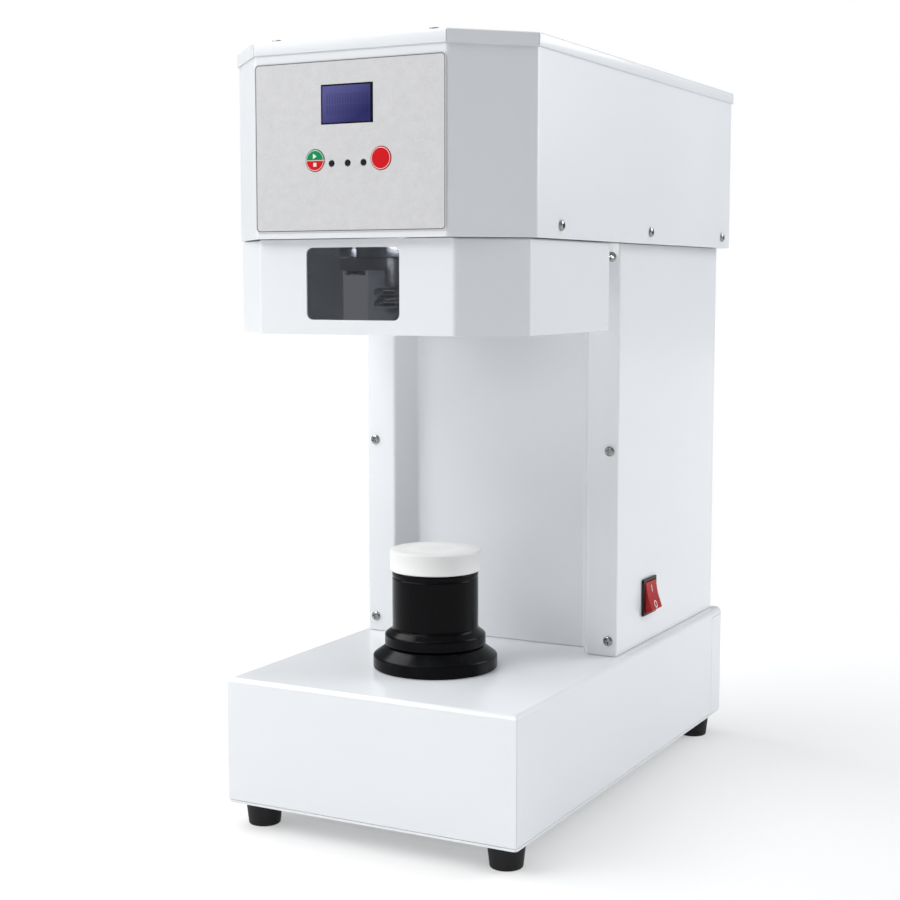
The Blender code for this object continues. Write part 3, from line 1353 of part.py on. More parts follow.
def main():
    clear_scene()
    white_paint = material("white_paint", (0.83, 0.84, 0.86), 0.35)
    steel = material("machined_steel", (0.55, 0.56, 0.58), 0.4, 1.0)
    bright = material("polished_steel", (0.72, 0.72, 0.74), 0.22, 1.0)
    rubber = material("black_rubber", (0.02, 0.02, 0.02), 0.8)
    black = material("black_plastic", (0.015, 0.015, 0.018), 0.35)
    gloss_black = material("gloss_black", (0.01, 0.01, 0.012), 0.2)
    white = material("white_plastic", (0.85, 0.85, 0.84), 0.4)
    red = material("red_plastic", (0.7, 0.02, 0.02), 0.3)
    green = material("green_plastic", (0.02, 0.35, 0.12), 0.4)
    smoke = material("smoked_acrylic", (0.05, 0.05, 0.06), 0.1)
    overlay = material("grey_overlay", (0.66, 0.66, 0.67), 0.5)
    glass = material("display_glass", (0.08, 0.07, 0.35), 0.15)
    board_green = material("circuit_board", (0.02, 0.16, 0.07), 0.5)
    brass = material("bronze", (0.65, 0.45, 0.2), 0.35, 1.0)

    make_base(white_paint, rubber)
    make_column(white_paint, steel)
    make_power_switch(black, red)
    make_inlet(black)
    make_head_plate(steel)
    make_casing(white_paint)
    make_guard(white_paint, smoke)
    make_control_panel(overlay, glass, board_green, black, red, green)
    make_head_frame(steel, bright, black)
    make_drive(steel, bright, rubber)
    make_rotor(steel, bright)
    make_cam(bright)
    make_stand(gloss_black, bright, brass, white)
    make_lift(steel, bright, black, rubber)
    make_electrics(board_green, steel)


main()
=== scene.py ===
# %% [markdown]
# # A desktop can seaming machine, finished in Blender
# The real machine folds the rim of a drink can over its lid. A folded-steel base and column carry a
# head with a motor, two seaming rollers and a control panel, and a black turned stand lifts the can
# up to the rollers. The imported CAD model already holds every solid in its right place, so this
# lesson only adds what CAD leaves out: rounded bends, real screws, mouldings and surface finishes.

import math

import bmesh
import bpy
from mathutils import Matrix, Vector
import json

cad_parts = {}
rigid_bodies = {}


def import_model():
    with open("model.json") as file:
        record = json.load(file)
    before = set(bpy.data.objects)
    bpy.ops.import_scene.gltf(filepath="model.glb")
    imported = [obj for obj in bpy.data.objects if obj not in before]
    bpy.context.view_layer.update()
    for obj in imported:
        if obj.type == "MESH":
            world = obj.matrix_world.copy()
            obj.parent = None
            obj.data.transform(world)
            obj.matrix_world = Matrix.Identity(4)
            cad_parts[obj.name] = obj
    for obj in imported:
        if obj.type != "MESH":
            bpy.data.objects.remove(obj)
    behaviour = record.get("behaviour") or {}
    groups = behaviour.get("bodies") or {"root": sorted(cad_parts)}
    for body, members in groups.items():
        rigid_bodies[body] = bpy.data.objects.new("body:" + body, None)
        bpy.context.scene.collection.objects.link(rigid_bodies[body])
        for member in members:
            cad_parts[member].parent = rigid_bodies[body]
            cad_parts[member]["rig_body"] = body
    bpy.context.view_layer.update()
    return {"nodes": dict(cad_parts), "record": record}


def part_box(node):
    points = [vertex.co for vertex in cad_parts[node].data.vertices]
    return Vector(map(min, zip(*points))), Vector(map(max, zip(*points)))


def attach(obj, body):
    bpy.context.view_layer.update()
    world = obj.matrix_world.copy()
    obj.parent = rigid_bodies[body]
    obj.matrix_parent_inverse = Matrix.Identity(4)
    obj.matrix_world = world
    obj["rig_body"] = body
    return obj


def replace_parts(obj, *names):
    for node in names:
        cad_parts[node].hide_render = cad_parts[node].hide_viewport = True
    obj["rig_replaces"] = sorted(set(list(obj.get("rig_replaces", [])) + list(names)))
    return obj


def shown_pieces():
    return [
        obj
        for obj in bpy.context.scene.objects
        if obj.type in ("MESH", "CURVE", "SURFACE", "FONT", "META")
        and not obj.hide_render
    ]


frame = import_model()
scene = bpy.context.scene
nodes = frame["nodes"]

# %% [markdown]
# ## Where things are
# Every place below is read from the CAD boxes, so the visual pieces can't drift away from the
# solids that they stand for. The seaming head and the can stand share one upright axis.

# %% Read the main places from the CAD
low_of = {name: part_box(name)[0] for name in nodes}
high_of = {name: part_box(name)[1] for name in nodes}
middle_of = {name: (low_of[name] + high_of[name]) / 2 for name in nodes}
body_of_node = {name: node["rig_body"] for name, node in nodes.items()}
slot_of_node = {part["node"]: part["material_slot"] for part in frame["record"]["subparts"]}
axis_y = middle_of["stand_tube"].y
CAD_HEAD_HEIGHT = 0.0022  # how far a screw head stands proud of its sheet in the CAD

# %% [markdown]
# ## Node trees in a few lines
# Materials and Geometry Nodes are both trees of nodes. One helper adds a node, sets its properties,
# and fills its inputs: a plain value is stored in the socket, and another node's output is linked.
# Small helpers for sums keep the trees readable, and each adds only Math nodes.

# %% Node helper


def node(tree, kind, inputs=None, **settings):
    """Adds a node. Inputs are given by name or number, as values or as other nodes' outputs."""
    made = tree.nodes.new(kind)
    for key, value in settings.items():
        setattr(made, key, value)
    for key, value in (inputs or {}).items():
        if isinstance(value, bpy.types.NodeSocket):
            tree.links.new(value, made.inputs[key])
        else:
            made.inputs[key].default_value = value
    return made


def maths(tree, operation, *values):
    """A Math node's output, for values that are numbers or outputs."""
    return node(tree, "ShaderNodeMath", dict(enumerate(values)), operation=operation).outputs[0]


def times(tree, first, *others):
    """The product of two or more values."""
    for other in others:
        first = maths(tree, "MULTIPLY", first, other)
    return first


def minus(tree, first, second):
    return maths(tree, "SUBTRACT", first, second)


def length_of(tree, *sides):
    """The length of an arm whose sides along the axes are given."""
    return maths(tree, "SQRT", maths(tree, "ADD", *(times(tree, side, side) for side in sides)))


def highest(tree, first, *others):
    """The highest of two or more values."""
    for other in others:
        first = maths(tree, "MAXIMUM", first, other)
    return first


def start_group(kind, name, inputs, outputs):
    """An empty node group with named sockets, and its input and output nodes."""
    tree = bpy.data.node_groups.new(name, kind)
    for direction, sockets in (("INPUT", inputs), ("OUTPUT", outputs)):
        for label, socket, value in sockets:
            made = tree.interface.new_socket(label, in_out=direction, socket_type=socket)
            if value is not None:
                made.default_value = value
    return tree, tree.nodes.new("NodeGroupInput").outputs, tree.nodes.new("NodeGroupOutput").inputs


# %% [markdown]
# ## Effects that several finishes share
# Powder coat, moulded plastic and machined steel all show a fine grain. Turned metal shows rings
# round its axis, edges catch light because handling rubs them, and dust settles on what faces up.
# Each effect is one shader group, so it is built once and every material sets its own strength.

# %% Grain group
FLOAT = "NodeSocketFloat"
VECTOR = "NodeSocketVector"


def make_grain():
    """Two sizes of noise: the small one is the texture that a finger feels, the large one is drift."""
    tree, given, out = start_group(
        "ShaderNodeTree",
        "grain",
        [("Stretch", VECTOR, (1, 1, 1)), ("Fine Scale", FLOAT, 900.0), ("Drift Scale", FLOAT, 9.0)],
        [("Height", FLOAT, None), ("Drift", FLOAT, None)],
    )
    place = node(tree, "ShaderNodeTexCoord").outputs["Object"]
    scaled = node(tree, "ShaderNodeVectorMath", {0: place, 1: given["Stretch"]}, operation="MULTIPLY")
    fine = {"Vector": scaled.outputs[0], "Scale": given["Fine Scale"], "Detail": 3.0}
    drift = {"Vector": scaled.outputs[0], "Scale": given["Drift Scale"], "Detail": 2.0}
    tree.links.new(node(tree, "ShaderNodeTexNoise", fine).outputs[0], out["Height"])
    tree.links.new(node(tree, "ShaderNodeTexNoise", drift).outputs[0], out["Drift"])
    return tree


grain = make_grain()

# %% Turning marks group


def make_turning_marks():
    """Rings about an upright axis, as a lathe tool leaves them, with a slow change along the radius."""
    tree, given, out = start_group(
        "ShaderNodeTree",
        "turning_marks",
        [("Centre", VECTOR, (0, 0, 0)), ("Ring Scale", FLOAT, 1500.0)],
        [("Height", FLOAT, None), ("Sheen", FLOAT, None)],
    )
    place = node(tree, "ShaderNodeTexCoord").outputs["Object"]
    arm = node(tree, "ShaderNodeVectorMath", {0: place, 1: given["Centre"]}, operation="SUBTRACT")
    parts = node(tree, "ShaderNodeSeparateXYZ", {0: arm.outputs[0]}).outputs
    flat = node(tree, "ShaderNodeCombineXYZ", {0: parts["X"], 1: parts["Y"]})
    radius = node(tree, "ShaderNodeVectorMath", {0: flat.outputs[0]}, operation="LENGTH")
    along = maths(tree, "ADD", radius.outputs["Value"], parts["Z"])
    rings = {"W": along, "Scale": given["Ring Scale"], "Detail": 2.0}
    slow = {"W": along, "Scale": maths(tree, "DIVIDE", given["Ring Scale"], 12.0), "Detail": 1.0}
    ring = node(tree, "ShaderNodeTexNoise", rings, noise_dimensions="1D")
    sheen = node(tree, "ShaderNodeTexNoise", slow, noise_dimensions="1D")
    tree.links.new(ring.outputs[0], out["Height"])
    tree.links.new(sheen.outputs[0], out["Sheen"])
    return tree


turning_marks = make_turning_marks()

# %% Edge wear group


def make_edge_wear():
    """A mask that is 1 on an edge, where a rounded normal differs from the true one."""
    tree, given, out = start_group(
        "ShaderNodeTree",
        "edge_wear",
        [("Width", FLOAT, 0.0012), ("Breakup Scale", FLOAT, 260.0)],
        [("Mask", FLOAT, None)],
    )
    soft = node(tree, "ShaderNodeBevel", {"Radius": given["Width"]}, samples=6).outputs[0]
    true = node(tree, "ShaderNodeNewGeometry").outputs["Normal"]
    same = node(tree, "ShaderNodeVectorMath", {0: soft, 1: true}, operation="DOT_PRODUCT")
    place = node(tree, "ShaderNodeTexCoord").outputs["Object"]
    noise = {"Vector": place, "Scale": given["Breakup Scale"], "Detail": 4.0}
    patchy = node(tree, "ShaderNodeTexNoise", noise).outputs[0]
    edge = times(tree, minus(tree, 1.0, same.outputs["Value"]), 5.0)
    mask = node(tree, "ShaderNodeMath", {0: edge, 1: patchy}, operation="MULTIPLY", use_clamp=True)
    tree.links.new(mask.outputs[0], out["Mask"])
    return tree


edge_wear = make_edge_wear()

# %% Dust group


def make_dust():
    """Fine dust on surfaces that face up, thicker where the noise is high."""
    tree, given, out = start_group(
        "ShaderNodeTree",
        "dust",
        [("Amount", FLOAT, 0.2), ("Patch Scale", FLOAT, 14.0)],
        [("Mask", FLOAT, None)],
    )
    normal = node(tree, "ShaderNodeNewGeometry").outputs["Normal"]
    upward = node(tree, "ShaderNodeSeparateXYZ", {0: normal}).outputs["Z"]
    facing = node(tree, "ShaderNodeMapRange", {"Value": upward, "From Min": 0.4, "From Max": 1.0})
    place = node(tree, "ShaderNodeTexCoord").outputs["Object"]
    patches = {"Vector": place, "Scale": given["Patch Scale"], "Detail": 6.0, "Roughness": 0.7}
    noise = node(tree, "ShaderNodeTexNoise", patches).outputs[0]
    tree.links.new(times(tree, facing.outputs[0], given["Amount"], noise), out["Mask"])
    return tree


dust = make_dust()
print("shader groups:", ", ".join(group.name for group in bpy.data.node_groups))

# %% [markdown]
# ## Making pieces
# A finished piece needs three things: a closed mesh with its place in the mesh itself, a material,
# and a CAD body to ride on. A hard-surface piece also needs its flat faces shaded flat and its bends
# shaded smooth. Marking edges by angle and weighting the normals by face area does both.

# %% Turn a bmesh into a piece


def applied(piece):
    """Replaces the piece's mesh with what its modifiers make, and removes the modifiers."""
    graph = bpy.context.evaluated_depsgraph_get()
    piece.data = bpy.data.meshes.new_from_object(piece.evaluated_get(graph), depsgraph=graph)
    piece.modifiers.clear()
    piece.data.name = piece.name


def shade(piece, angle=32):
    """Flat faces stay flat and bends shade smoothly."""
    mesh = piece.data
    mesh.polygons.foreach_set("use_smooth", [True] * len(mesh.polygons))
    mesh.set_sharp_from_angle(angle=math.radians(angle))
    weighted = piece.modifiers.new("weighted normals", "WEIGHTED_NORMAL")
    weighted.keep_sharp = True
    applied(piece)


def new_object(name, bm):
    mesh = bpy.data.meshes.new(name)
    bm.to_mesh(mesh)
    bm.free()
    piece = bpy.data.objects.new(name, mesh)
    scene.collection.objects.link(piece)
    return piece


def settle(piece, finish, body, stands_for=(), slot=None):
    """Gives a piece its material, its CAD body, and the nodes it stands for."""
    piece.data.materials.clear()
    piece.data.materials.append(finish)
    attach(piece, body)
    if stands_for:
        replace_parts(piece, *stands_for)
        slot = slot or slot_of_node[stands_for[0]]
    return piece


# %% [markdown]
# ## Sheet metal from the CAD solids
# The folded sheets already have their true shape in the CAD, but with knife-sharp bends. A copy of
# the node has its doubled corners merged and its flat faces joined into single polygons. Then each
# edge gets a bevel weight: an edge between two broad faces is a press-brake bend and takes the full
# radius, and an edge of the thin sheet is only deburred, so it takes a small part of it.

# %% Copy a CAD node with its flat faces joined


WELD = 0.00001
FLAT_WITHIN = math.radians(0.6)


def joined_copy(name):
    """The node's shape as a bmesh of whole flat faces."""
    bm = bmesh.new()
    bm.from_mesh(nodes[name].data)
    bmesh.ops.remove_doubles(bm, verts=bm.verts, dist=WELD)
    bmesh.ops.dissolve_limit(
        bm, angle_limit=FLAT_WITHIN, verts=bm.verts, edges=bm.edges, delimit={"NORMAL"}
    )
    bm.normal_update()
    return bm


def lift_off_heads(bm, axis, level, side=1):
    """Takes away the screw heads that stand beyond a sheet's face, and says where they were.

    The places come in the order of the mesh's own points, so that it is the same in every run.
    """
    just_past = 0.0001
    beyond = [v for v in bm.verts if v.co[axis] * side > level * side + just_past]
    bmesh.ops.delete(bm, geom=beyond, context="VERTS")
    places, taken = [], set()
    for first in [v for v in bm.verts if v.is_boundary]:
        if first in taken:
            continue
        ring = [first]
        taken.add(first)
        for vertex in ring:
            for edge in vertex.link_edges:
                other = edge.other_vert(vertex)
                if edge.is_boundary and other not in taken:
                    taken.add(other)
                    ring.append(other)
        places.append(sum((v.co for v in ring), Vector()) / len(ring))
    bmesh.ops.holes_fill(bm, edges=[edge for edge in bm.edges if edge.is_boundary])
    bmesh.ops.dissolve_limit(bm, angle_limit=FLAT_WITHIN, verts=bm.verts, edges=bm.edges)
    bm.normal_update()
    return places


# %% Round the bends and deburr the rims


def breadth(face):
    """The average width of a face. For the cut edge of a sheet, it is the sheet's thickness."""
    return 2 * face.calc_area() / face.calc_perimeter()


def folded(bm, name, bend=0.0018, rim=0.0003, broad=0.0025):
    """An object with bend radii where two broad faces meet and a small radius on every other edge."""
    weights = bm.edges.layers.float.new("bevel_weight_edge")
    for edge in bm.edges:
        if len(edge.link_faces) == 2 and edge.calc_face_angle(0) > math.radians(20):
            is_bend = min(breadth(face) for face in edge.link_faces) > broad
            edge[weights] = 1.0 if is_bend else rim / bend
    piece = new_object(name, bm)
    bevel = piece.modifiers.new("bends", "BEVEL")
    bevel.limit_method = "WEIGHT"
    bevel.width = bend
    bevel.segments = 3
    bevel.use_clamp_overlap = True
    applied(piece)
    shade(piece)
    return piece


# %% [markdown]
# ## Turned pieces
# Anything made on a lathe is a profile spun about an axis. The profile is given as radius and height.
# Its corners are softened first, because a real cutter leaves a small radius that catches the light.

# %% Lathe


TINY = 1e-6


def softened(profile, radius):
    """The profile with each corner off the axis replaced by a short curve."""
    made = []
    count = len(profile)
    for i, point in enumerate(profile):
        here = Vector(point)
        back = Vector(profile[i - 1]) - here
        ahead = Vector(profile[(i + 1) % count]) - here
        reach = min(radius, back.length * 0.45, ahead.length * 0.45)
        if here.x < TINY or reach < TINY:
            made.append((here.x, here.y))
            continue
        start = here + back.normalized() * reach
        end = here + ahead.normalized() * reach
        for step in range(4):
            t = step / 3
            curve = start * (1 - t) ** 2 + here * 2 * t * (1 - t) + end * t * t
            made.append((curve.x, curve.y))
    return made


def lathe(profile, centre=(0, 0), radius=0.0006, steps=96):
    """A closed turned shape about the upright axis through centre. The profile runs anticlockwise."""
    outline = softened(profile, radius)
    bm = bmesh.new()
    rings = []
    for r, z in outline:
        if r < TINY:
            rings.append([bm.verts.new((centre[0], centre[1], z))] * steps)
            continue
        turns = [2 * math.pi * i / steps for i in range(steps)]
        rings.append(
            [bm.verts.new((centre[0] + r * math.cos(a), centre[1] + r * math.sin(a), z)) for a in turns]
        )
    for i, ring in enumerate(rings):
        after = rings[(i + 1) % len(rings)]
        for k in range(steps):
            corners = [ring[k], ring[(k + 1) % steps], after[(k + 1) % steps], after[k]]
            corners = list(dict.fromkeys(corners))
            if len(corners) > 2:
                bm.faces.new(corners)
    bmesh.ops.recalc_face_normals(bm, faces=bm.faces)
    return bm


def turned_piece(name, profile, centre, radius=0.0006, steps=96):
    piece = new_object(name, lathe(profile, centre, radius, steps))
    shade(piece, 40)
    return piece


# %% [markdown]
# ## Plates with a free outline
# Overlays, panes, bezels and buttons are plates whose outline has rounded corners. They are drawn
# flat and pushed along one axis. The rim of the front face gets a fine radius with a Bevel modifier.

# %% Plate


def rounded_outline(centre_a, centre_b, width, height, radius, steps=6):
    points = []
    for k, (side_a, side_b) in enumerate(((1, 1), (-1, 1), (-1, -1), (1, -1))):
        for i in range(steps + 1):
            angle = math.pi / 2 * (k + i / steps)
            points.append(
                (
                    centre_a + side_a * (width / 2 - radius) + radius * math.cos(angle),
                    centre_b + side_b * (height / 2 - radius) + radius * math.sin(angle),
                )
            )
    return points


def pushed(outline, low, high, axis="Y"):
    """The outline as a solid from low to high along an axis. It holds the other two coordinates."""
    place = {
        "X": lambda a, b, h: (h, a, b),
        "Y": lambda a, b, h: (a, h, b),
        "Z": lambda a, b, h: (a, b, h),
    }[axis]
    bm = bmesh.new()
    near = [bm.verts.new(place(a, b, low)) for a, b in outline]
    far = [bm.verts.new(place(a, b, high)) for a, b in outline]
    bm.faces.new(near)
    bm.faces.new(reversed(far))
    for i in range(len(outline)):
        k = (i + 1) % len(outline)
        bm.faces.new([near[k], near[i], far[i], far[k]])
    bmesh.ops.recalc_face_normals(bm, faces=bm.faces)
    return bm


def bevelled(bm, name, width, segments=3, angle=40):
    """An object with every sharp edge rounded."""
    piece = new_object(name, bm)
    bevel = piece.modifiers.new("edges", "BEVEL")
    bevel.limit_method = "ANGLE"
    bevel.angle_limit = math.radians(angle)
    bevel.width = width
    bevel.segments = segments
    bevel.use_clamp_overlap = True
    applied(piece)
    shade(piece)
    return piece

# %% [markdown]
# ## Starting a finish
# Every material is one Principled shader with its plain values set on the shader's own sockets. What
# changes over the surface comes from the shared groups: colour drift, wear, dust, and a height for a
# Bump node. Distances are real, so a powder coat's texture stays a few hundredths of a millimetre.

# %% Material helpers


def start_finish(name, colour, roughness, metallic=0.0, **sockets):
    material = bpy.data.materials.new(name)
    material.use_nodes = True
    tree = material.node_tree
    tree.nodes.clear()
    values = {"Base Color": (*colour, 1), "Roughness": roughness, "Metallic": metallic}
    values.update({key.replace("_", " "): value for key, value in sockets.items()})
    surface = node(tree, "ShaderNodeBsdfPrincipled", values)
    node(tree, "ShaderNodeOutputMaterial", {"Surface": surface.outputs[0]})
    return material, tree, surface.inputs


def use(tree, group, **values):
    """A group node's outputs, with its inputs set by name."""
    made = tree.nodes.new("ShaderNodeGroup")
    made.node_tree = group
    for key, value in values.items():
        made.inputs[key.replace("_", " ")].default_value = value
    return made.outputs


def between(tree, factor, low, high):
    """A value that goes from low to high as factor goes from 0 to 1."""
    ends = {"Value": factor, "To Min": low, "To Max": high}
    return node(tree, "ShaderNodeMapRange", ends).outputs[0]


def mixed(tree, factor, first, second):
    """A colour between two colours. Each is a tuple or another node's output."""
    ends = {0: factor}
    for index, colour in ((6, first), (7, second)):
        ends[index] = (*colour, 1) if isinstance(colour, tuple) else colour
    return node(tree, "ShaderNodeMix", ends, data_type="RGBA").outputs[2]


def bump(tree, surface, height, distance):
    """Links a height map to the shader's normal. The distance is the depth in metres."""
    values = {"Height": height, "Distance": distance, "Strength": 1.0}
    tree.links.new(node(tree, "ShaderNodeBump", values).outputs[0], surface["Normal"])


# %% [markdown]
# ## Sheet-metal and moulded finishes
# The housing is epoxy powder coat: white with a cool cast, half glossy, with a faint orange-peel
# surface. The coat is thinner on bends, so they are a touch greyer, and flat tops hold a little dust.

# %% Paint and plastic


def coated(name, colour, roughness, depth, texture=700.0, worn=None, dusty=0.1, coat=0.0, gloss=0.5):
    """A painted or moulded surface: drift in tone, fine texture, rubbed edges and dust."""
    material, tree, surface = start_finish(
        name, colour, roughness, Coat_Weight=coat, Coat_Roughness=0.12, Specular_IOR_Level=gloss
    )
    texture_of = use(tree, grain, Fine_Scale=texture, Drift_Scale=6.0)
    darker = tuple(channel * 0.95 for channel in colour)
    tone = mixed(tree, texture_of["Drift"], darker, colour)
    worn = worn or tuple(min(1.0, channel * 1.1 + 0.01) for channel in colour)
    edges = use(tree, edge_wear, Width=0.0012)["Mask"]
    tone = mixed(tree, edges, tone, worn)
    dusting = use(tree, dust, Amount=dusty)["Mask"]
    tree.links.new(mixed(tree, dusting, tone, (0.62, 0.6, 0.56)), surface["Base Color"])
    rough = between(tree, texture_of["Drift"], roughness - 0.05, roughness + 0.05)
    tree.links.new(maths(tree, "ADD", rough, dusting), surface["Roughness"])
    bump(tree, surface, texture_of["Height"], depth)
    return material


powder_coat = coated(
    "white_powder_coat", (0.805, 0.825, 0.85), 0.34, 0.00003, 650.0, (0.74, 0.755, 0.78), 0.05, 0.3
)
rubber = coated("black_rubber_foot", (0.007, 0.007, 0.008), 0.6, 0.00008, 500.0, dusty=0.06, gloss=0.3)
belt_rubber = coated("belt_rubber", (0.022, 0.022, 0.024), 0.72, 0.00006, 900.0)
moulding = coated("black_moulding", (0.01, 0.01, 0.011), 0.42, 0.00004, 1500.0, dusty=0.04, gloss=0.3)
lamp_lens = coated(
    "dark_lamp_lens", (0.004, 0.004, 0.005), 0.16, 0.000005, 1500.0, dusty=0.01, gloss=0.25
)
motor_enamel = coated("motor_enamel", (0.09, 0.1, 0.11), 0.45, 0.00012, 350.0, (0.3, 0.31, 0.32))
board_lacquer = coated("circuit_board_lacquer", (0.012, 0.13, 0.05), 0.3, 0.00002, 1200.0, coat=0.5)
print("painted finishes:", len(bpy.data.materials))

# %% [markdown]
# ## Metals
# Machined faces show a fine directionless grain. Turned ones show rings about their axis, and where
# the tool slowed down a ring looks duller. Edges are brighter, because they are rubbed clean.

# %% Steel, bronze and the black stand


def metal(name, colour, roughness, texture=1300.0, depth=0.00002, stretch=(1, 1, 1), spread=0.12):
    material, tree, surface = start_finish(name, colour, roughness, 1.0)
    texture_of = use(tree, grain, Fine_Scale=texture, Drift_Scale=24.0, Stretch=stretch)
    duller = tuple(channel * 0.82 for channel in colour)
    tone = mixed(tree, texture_of["Drift"], duller, colour)
    bright = tuple(min(1.0, channel * 1.25) for channel in colour)
    edges = use(tree, edge_wear, Width=0.0006)["Mask"]
    tree.links.new(mixed(tree, edges, tone, bright), surface["Base Color"])
    low, high = roughness - spread / 2, roughness + spread / 2
    tree.links.new(between(tree, texture_of["Height"], low, high), surface["Roughness"])
    bump(tree, surface, texture_of["Height"], depth)
    return material


def lathed(name, colour, roughness, metallic, depth, worn, centre, dusty=0.0, rings=1500.0, gloss=0.5):
    """A surface with turning rings about the upright axis through centre."""
    material, tree, surface = start_finish(
        name, colour, roughness, metallic, Specular_IOR_Level=gloss
    )
    marks = use(tree, turning_marks, Centre=centre, Ring_Scale=rings)
    darker = tuple(channel * 0.85 for channel in colour)
    tone = mixed(tree, marks["Sheen"], darker, colour)
    tone = mixed(tree, use(tree, edge_wear, Width=0.0009)["Mask"], tone, worn)
    dusting = use(tree, dust, Amount=dusty, Patch_Scale=40.0)["Mask"]
    tree.links.new(mixed(tree, dusting, tone, (0.4, 0.39, 0.37)), surface["Base Color"])
    rough = between(tree, marks["Sheen"], roughness - 0.06, roughness + 0.06)
    tree.links.new(maths(tree, "ADD", rough, dusting), surface["Roughness"])
    bump(tree, surface, marks["Height"], depth)
    return material


stand_axis = (0, axis_y, 0)
machined_steel = metal("milled_steel", (0.66, 0.67, 0.68), 0.34)
brushed_steel = metal("brushed_steel", (0.5, 0.51, 0.52), 0.36, 600.0, 0.00002, (1, 1, 0.04))
screw_zinc = metal("screw_zinc", (0.36, 0.36, 0.36), 0.24, 2500.0, 0.00001)
bronze = metal("bearing_bronze", (0.5, 0.32, 0.15), 0.38)
turned_steel = lathed(
    "turned_steel", (0.6, 0.61, 0.62), 0.24, 1.0, 0.000012, (0.8, 0.8, 0.8), stand_axis
)
black_stand = lathed(
    "black_stand_coating", (0.0026, 0.0028, 0.0036), 0.2, 0.0, 0.000012, (0.03, 0.03, 0.034),
    stand_axis, dusty=0.006, rings=900.0, gloss=0.08,
)
tray_plastic = lathed(
    "white_tray_plastic", (0.88, 0.88, 0.87), 0.4, 0.0, 0.00001, (0.92, 0.92, 0.91), stand_axis,
    dusty=0.04, rings=700.0,
)
print("all finishes so far:", ", ".join(material.name for material in bpy.data.materials))

# %% [markdown]
# ## Clear and printed finishes
# The window is smoked acrylic. The control overlay is a printed film: light grey with a cloudy
# fleck and a thin dark line just inside its rim. The line is a rounded rectangle, found from the
# distance to the plate's own outline, so it follows the corners.

# %% Smoked acrylic
smoked, tree, surface = start_finish(
    "smoked_window", (0.1, 0.104, 0.115), 0.03, Transmission_Weight=1.0, IOR=1.49
)
haze = use(tree, grain, Fine_Scale=60.0, Drift_Scale=12.0)
tree.links.new(between(tree, haze["Drift"], 0.015, 0.06), surface["Roughness"])

# %% Distance helpers for printed shapes


def offset_from(tree, centre, across="X"):
    """The place on an upright plate, as its distance across and its height from the centre."""
    place = node(tree, "ShaderNodeTexCoord").outputs["Object"]
    arm = node(tree, "ShaderNodeVectorMath", {0: place, 1: centre}, operation="SUBTRACT")
    parts = node(tree, "ShaderNodeSeparateXYZ", {0: arm.outputs[0]}).outputs
    return parts[across], parts["Z"]


def rounded_distance(tree, x, z, half_width, half_height, radius):
    """How far outside a rounded rectangle a place is. It is negative inside."""
    over = []
    for value, half in ((x, half_width), (z, half_height)):
        past = minus(tree, maths(tree, "ABSOLUTE", value), half - radius)
        over.append(highest(tree, past, 0.0))
    return minus(tree, length_of(tree, *over), radius)


def inside(tree, distance, soft=0.00012):
    """1 where the distance is negative and 0 outside, with a soft rim as ink has."""
    ends = {"Value": distance, "From Min": -soft, "From Max": soft, "To Min": 1.0, "To Max": 0.0}
    return node(tree, "ShaderNodeMapRange", ends).outputs[0]


# %% Printed control overlay
overlay_low, overlay_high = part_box("control_overlay")
overlay_middle = (overlay_low + overlay_high) / 2
overlay_half = (overlay_high - overlay_low) / 2
overlay_print, tree, surface = start_finish(
    "control_overlay_print", (0.6, 0.6, 0.6), 0.42, Coat_Weight=0.1
)
x, z = offset_from(tree, overlay_middle)
bounds_of_line = []
for inset, corner in ((0.0006, 0.003), (0.0013, 0.0024)):
    half_x, half_z = overlay_half.x - inset, overlay_half.z - inset
    bounds_of_line.append(inside(tree, rounded_distance(tree, x, z, half_x, half_z, corner)))
line = minus(tree, *bounds_of_line)
fleck = use(tree, grain, Fine_Scale=520.0, Drift_Scale=150.0, Stretch=(1, 1, 1.3))
cloud = mixed(tree, fleck["Drift"], (0.53, 0.53, 0.54), (0.63, 0.63, 0.635))
cloud = mixed(tree, between(tree, fleck["Height"], -0.3, 0.7), cloud, (0.67, 0.67, 0.675))
tree.links.new(mixed(tree, line, cloud, (0.12, 0.12, 0.13)), surface["Base Color"])
tree.links.new(between(tree, fleck["Height"], 0.34, 0.5), surface["Roughness"])
bump(tree, surface, fleck["Height"], 0.00002)

# %% [markdown]
# The display is a blue liquid-crystal panel of two text rows that say nothing. Its character cells
# show as faint darker boxes, which a Brick Texture without any stagger gives. The start button is printed
# in two halves, green over red, with the usual triangle and square for start and stop.

# %% Display and button prints
GLASS_WIDTH, GLASS_HEIGHT = 0.0424, 0.0274
VIEW_HALF_WIDTH, VIEW_HALF_HEIGHT = 0.0199, 0.0129
CELL_WIDTH, CELL_HEIGHT, CELL_GAP = 0.0022, 0.0078, 0.00035
TEXT_HALF_WIDTH = 8 * CELL_WIDTH
display_middle = middle_of["display_module"]
lcd_print, tree, surface = start_finish("lcd_glass", (0.03, 0.03, 0.17), 0.12, Specular_IOR_Level=0.2)
x, z = offset_from(tree, display_middle)
flat_place = node(tree, "ShaderNodeCombineXYZ", {0: x, 1: z}).outputs[0]
cells = node(
    tree,
    "ShaderNodeTexBrick",
    {"Vector": flat_place, "Scale": 1.0, "Mortar Size": CELL_GAP, "Brick Width": CELL_WIDTH,
     "Row Height": CELL_HEIGHT, "Color1": (1, 1, 1, 1), "Color2": (1, 1, 1, 1), "Mortar": (0, 0, 0, 1)},
    offset=0.0,
)
# Painted shade: the blue of the glass darkens from the top right towards the bottom left.
slant = minus(tree, z, times(tree, x, 0.7))
painted_shade_ramp = node(tree, "ShaderNodeMapRange", {"Value": slant, "From Min": -0.016, "From Max": 0.022})
blue = mixed(tree, painted_shade_ramp.outputs[0], (0.026, 0.026, 0.115), (0.1, 0.1, 0.27))
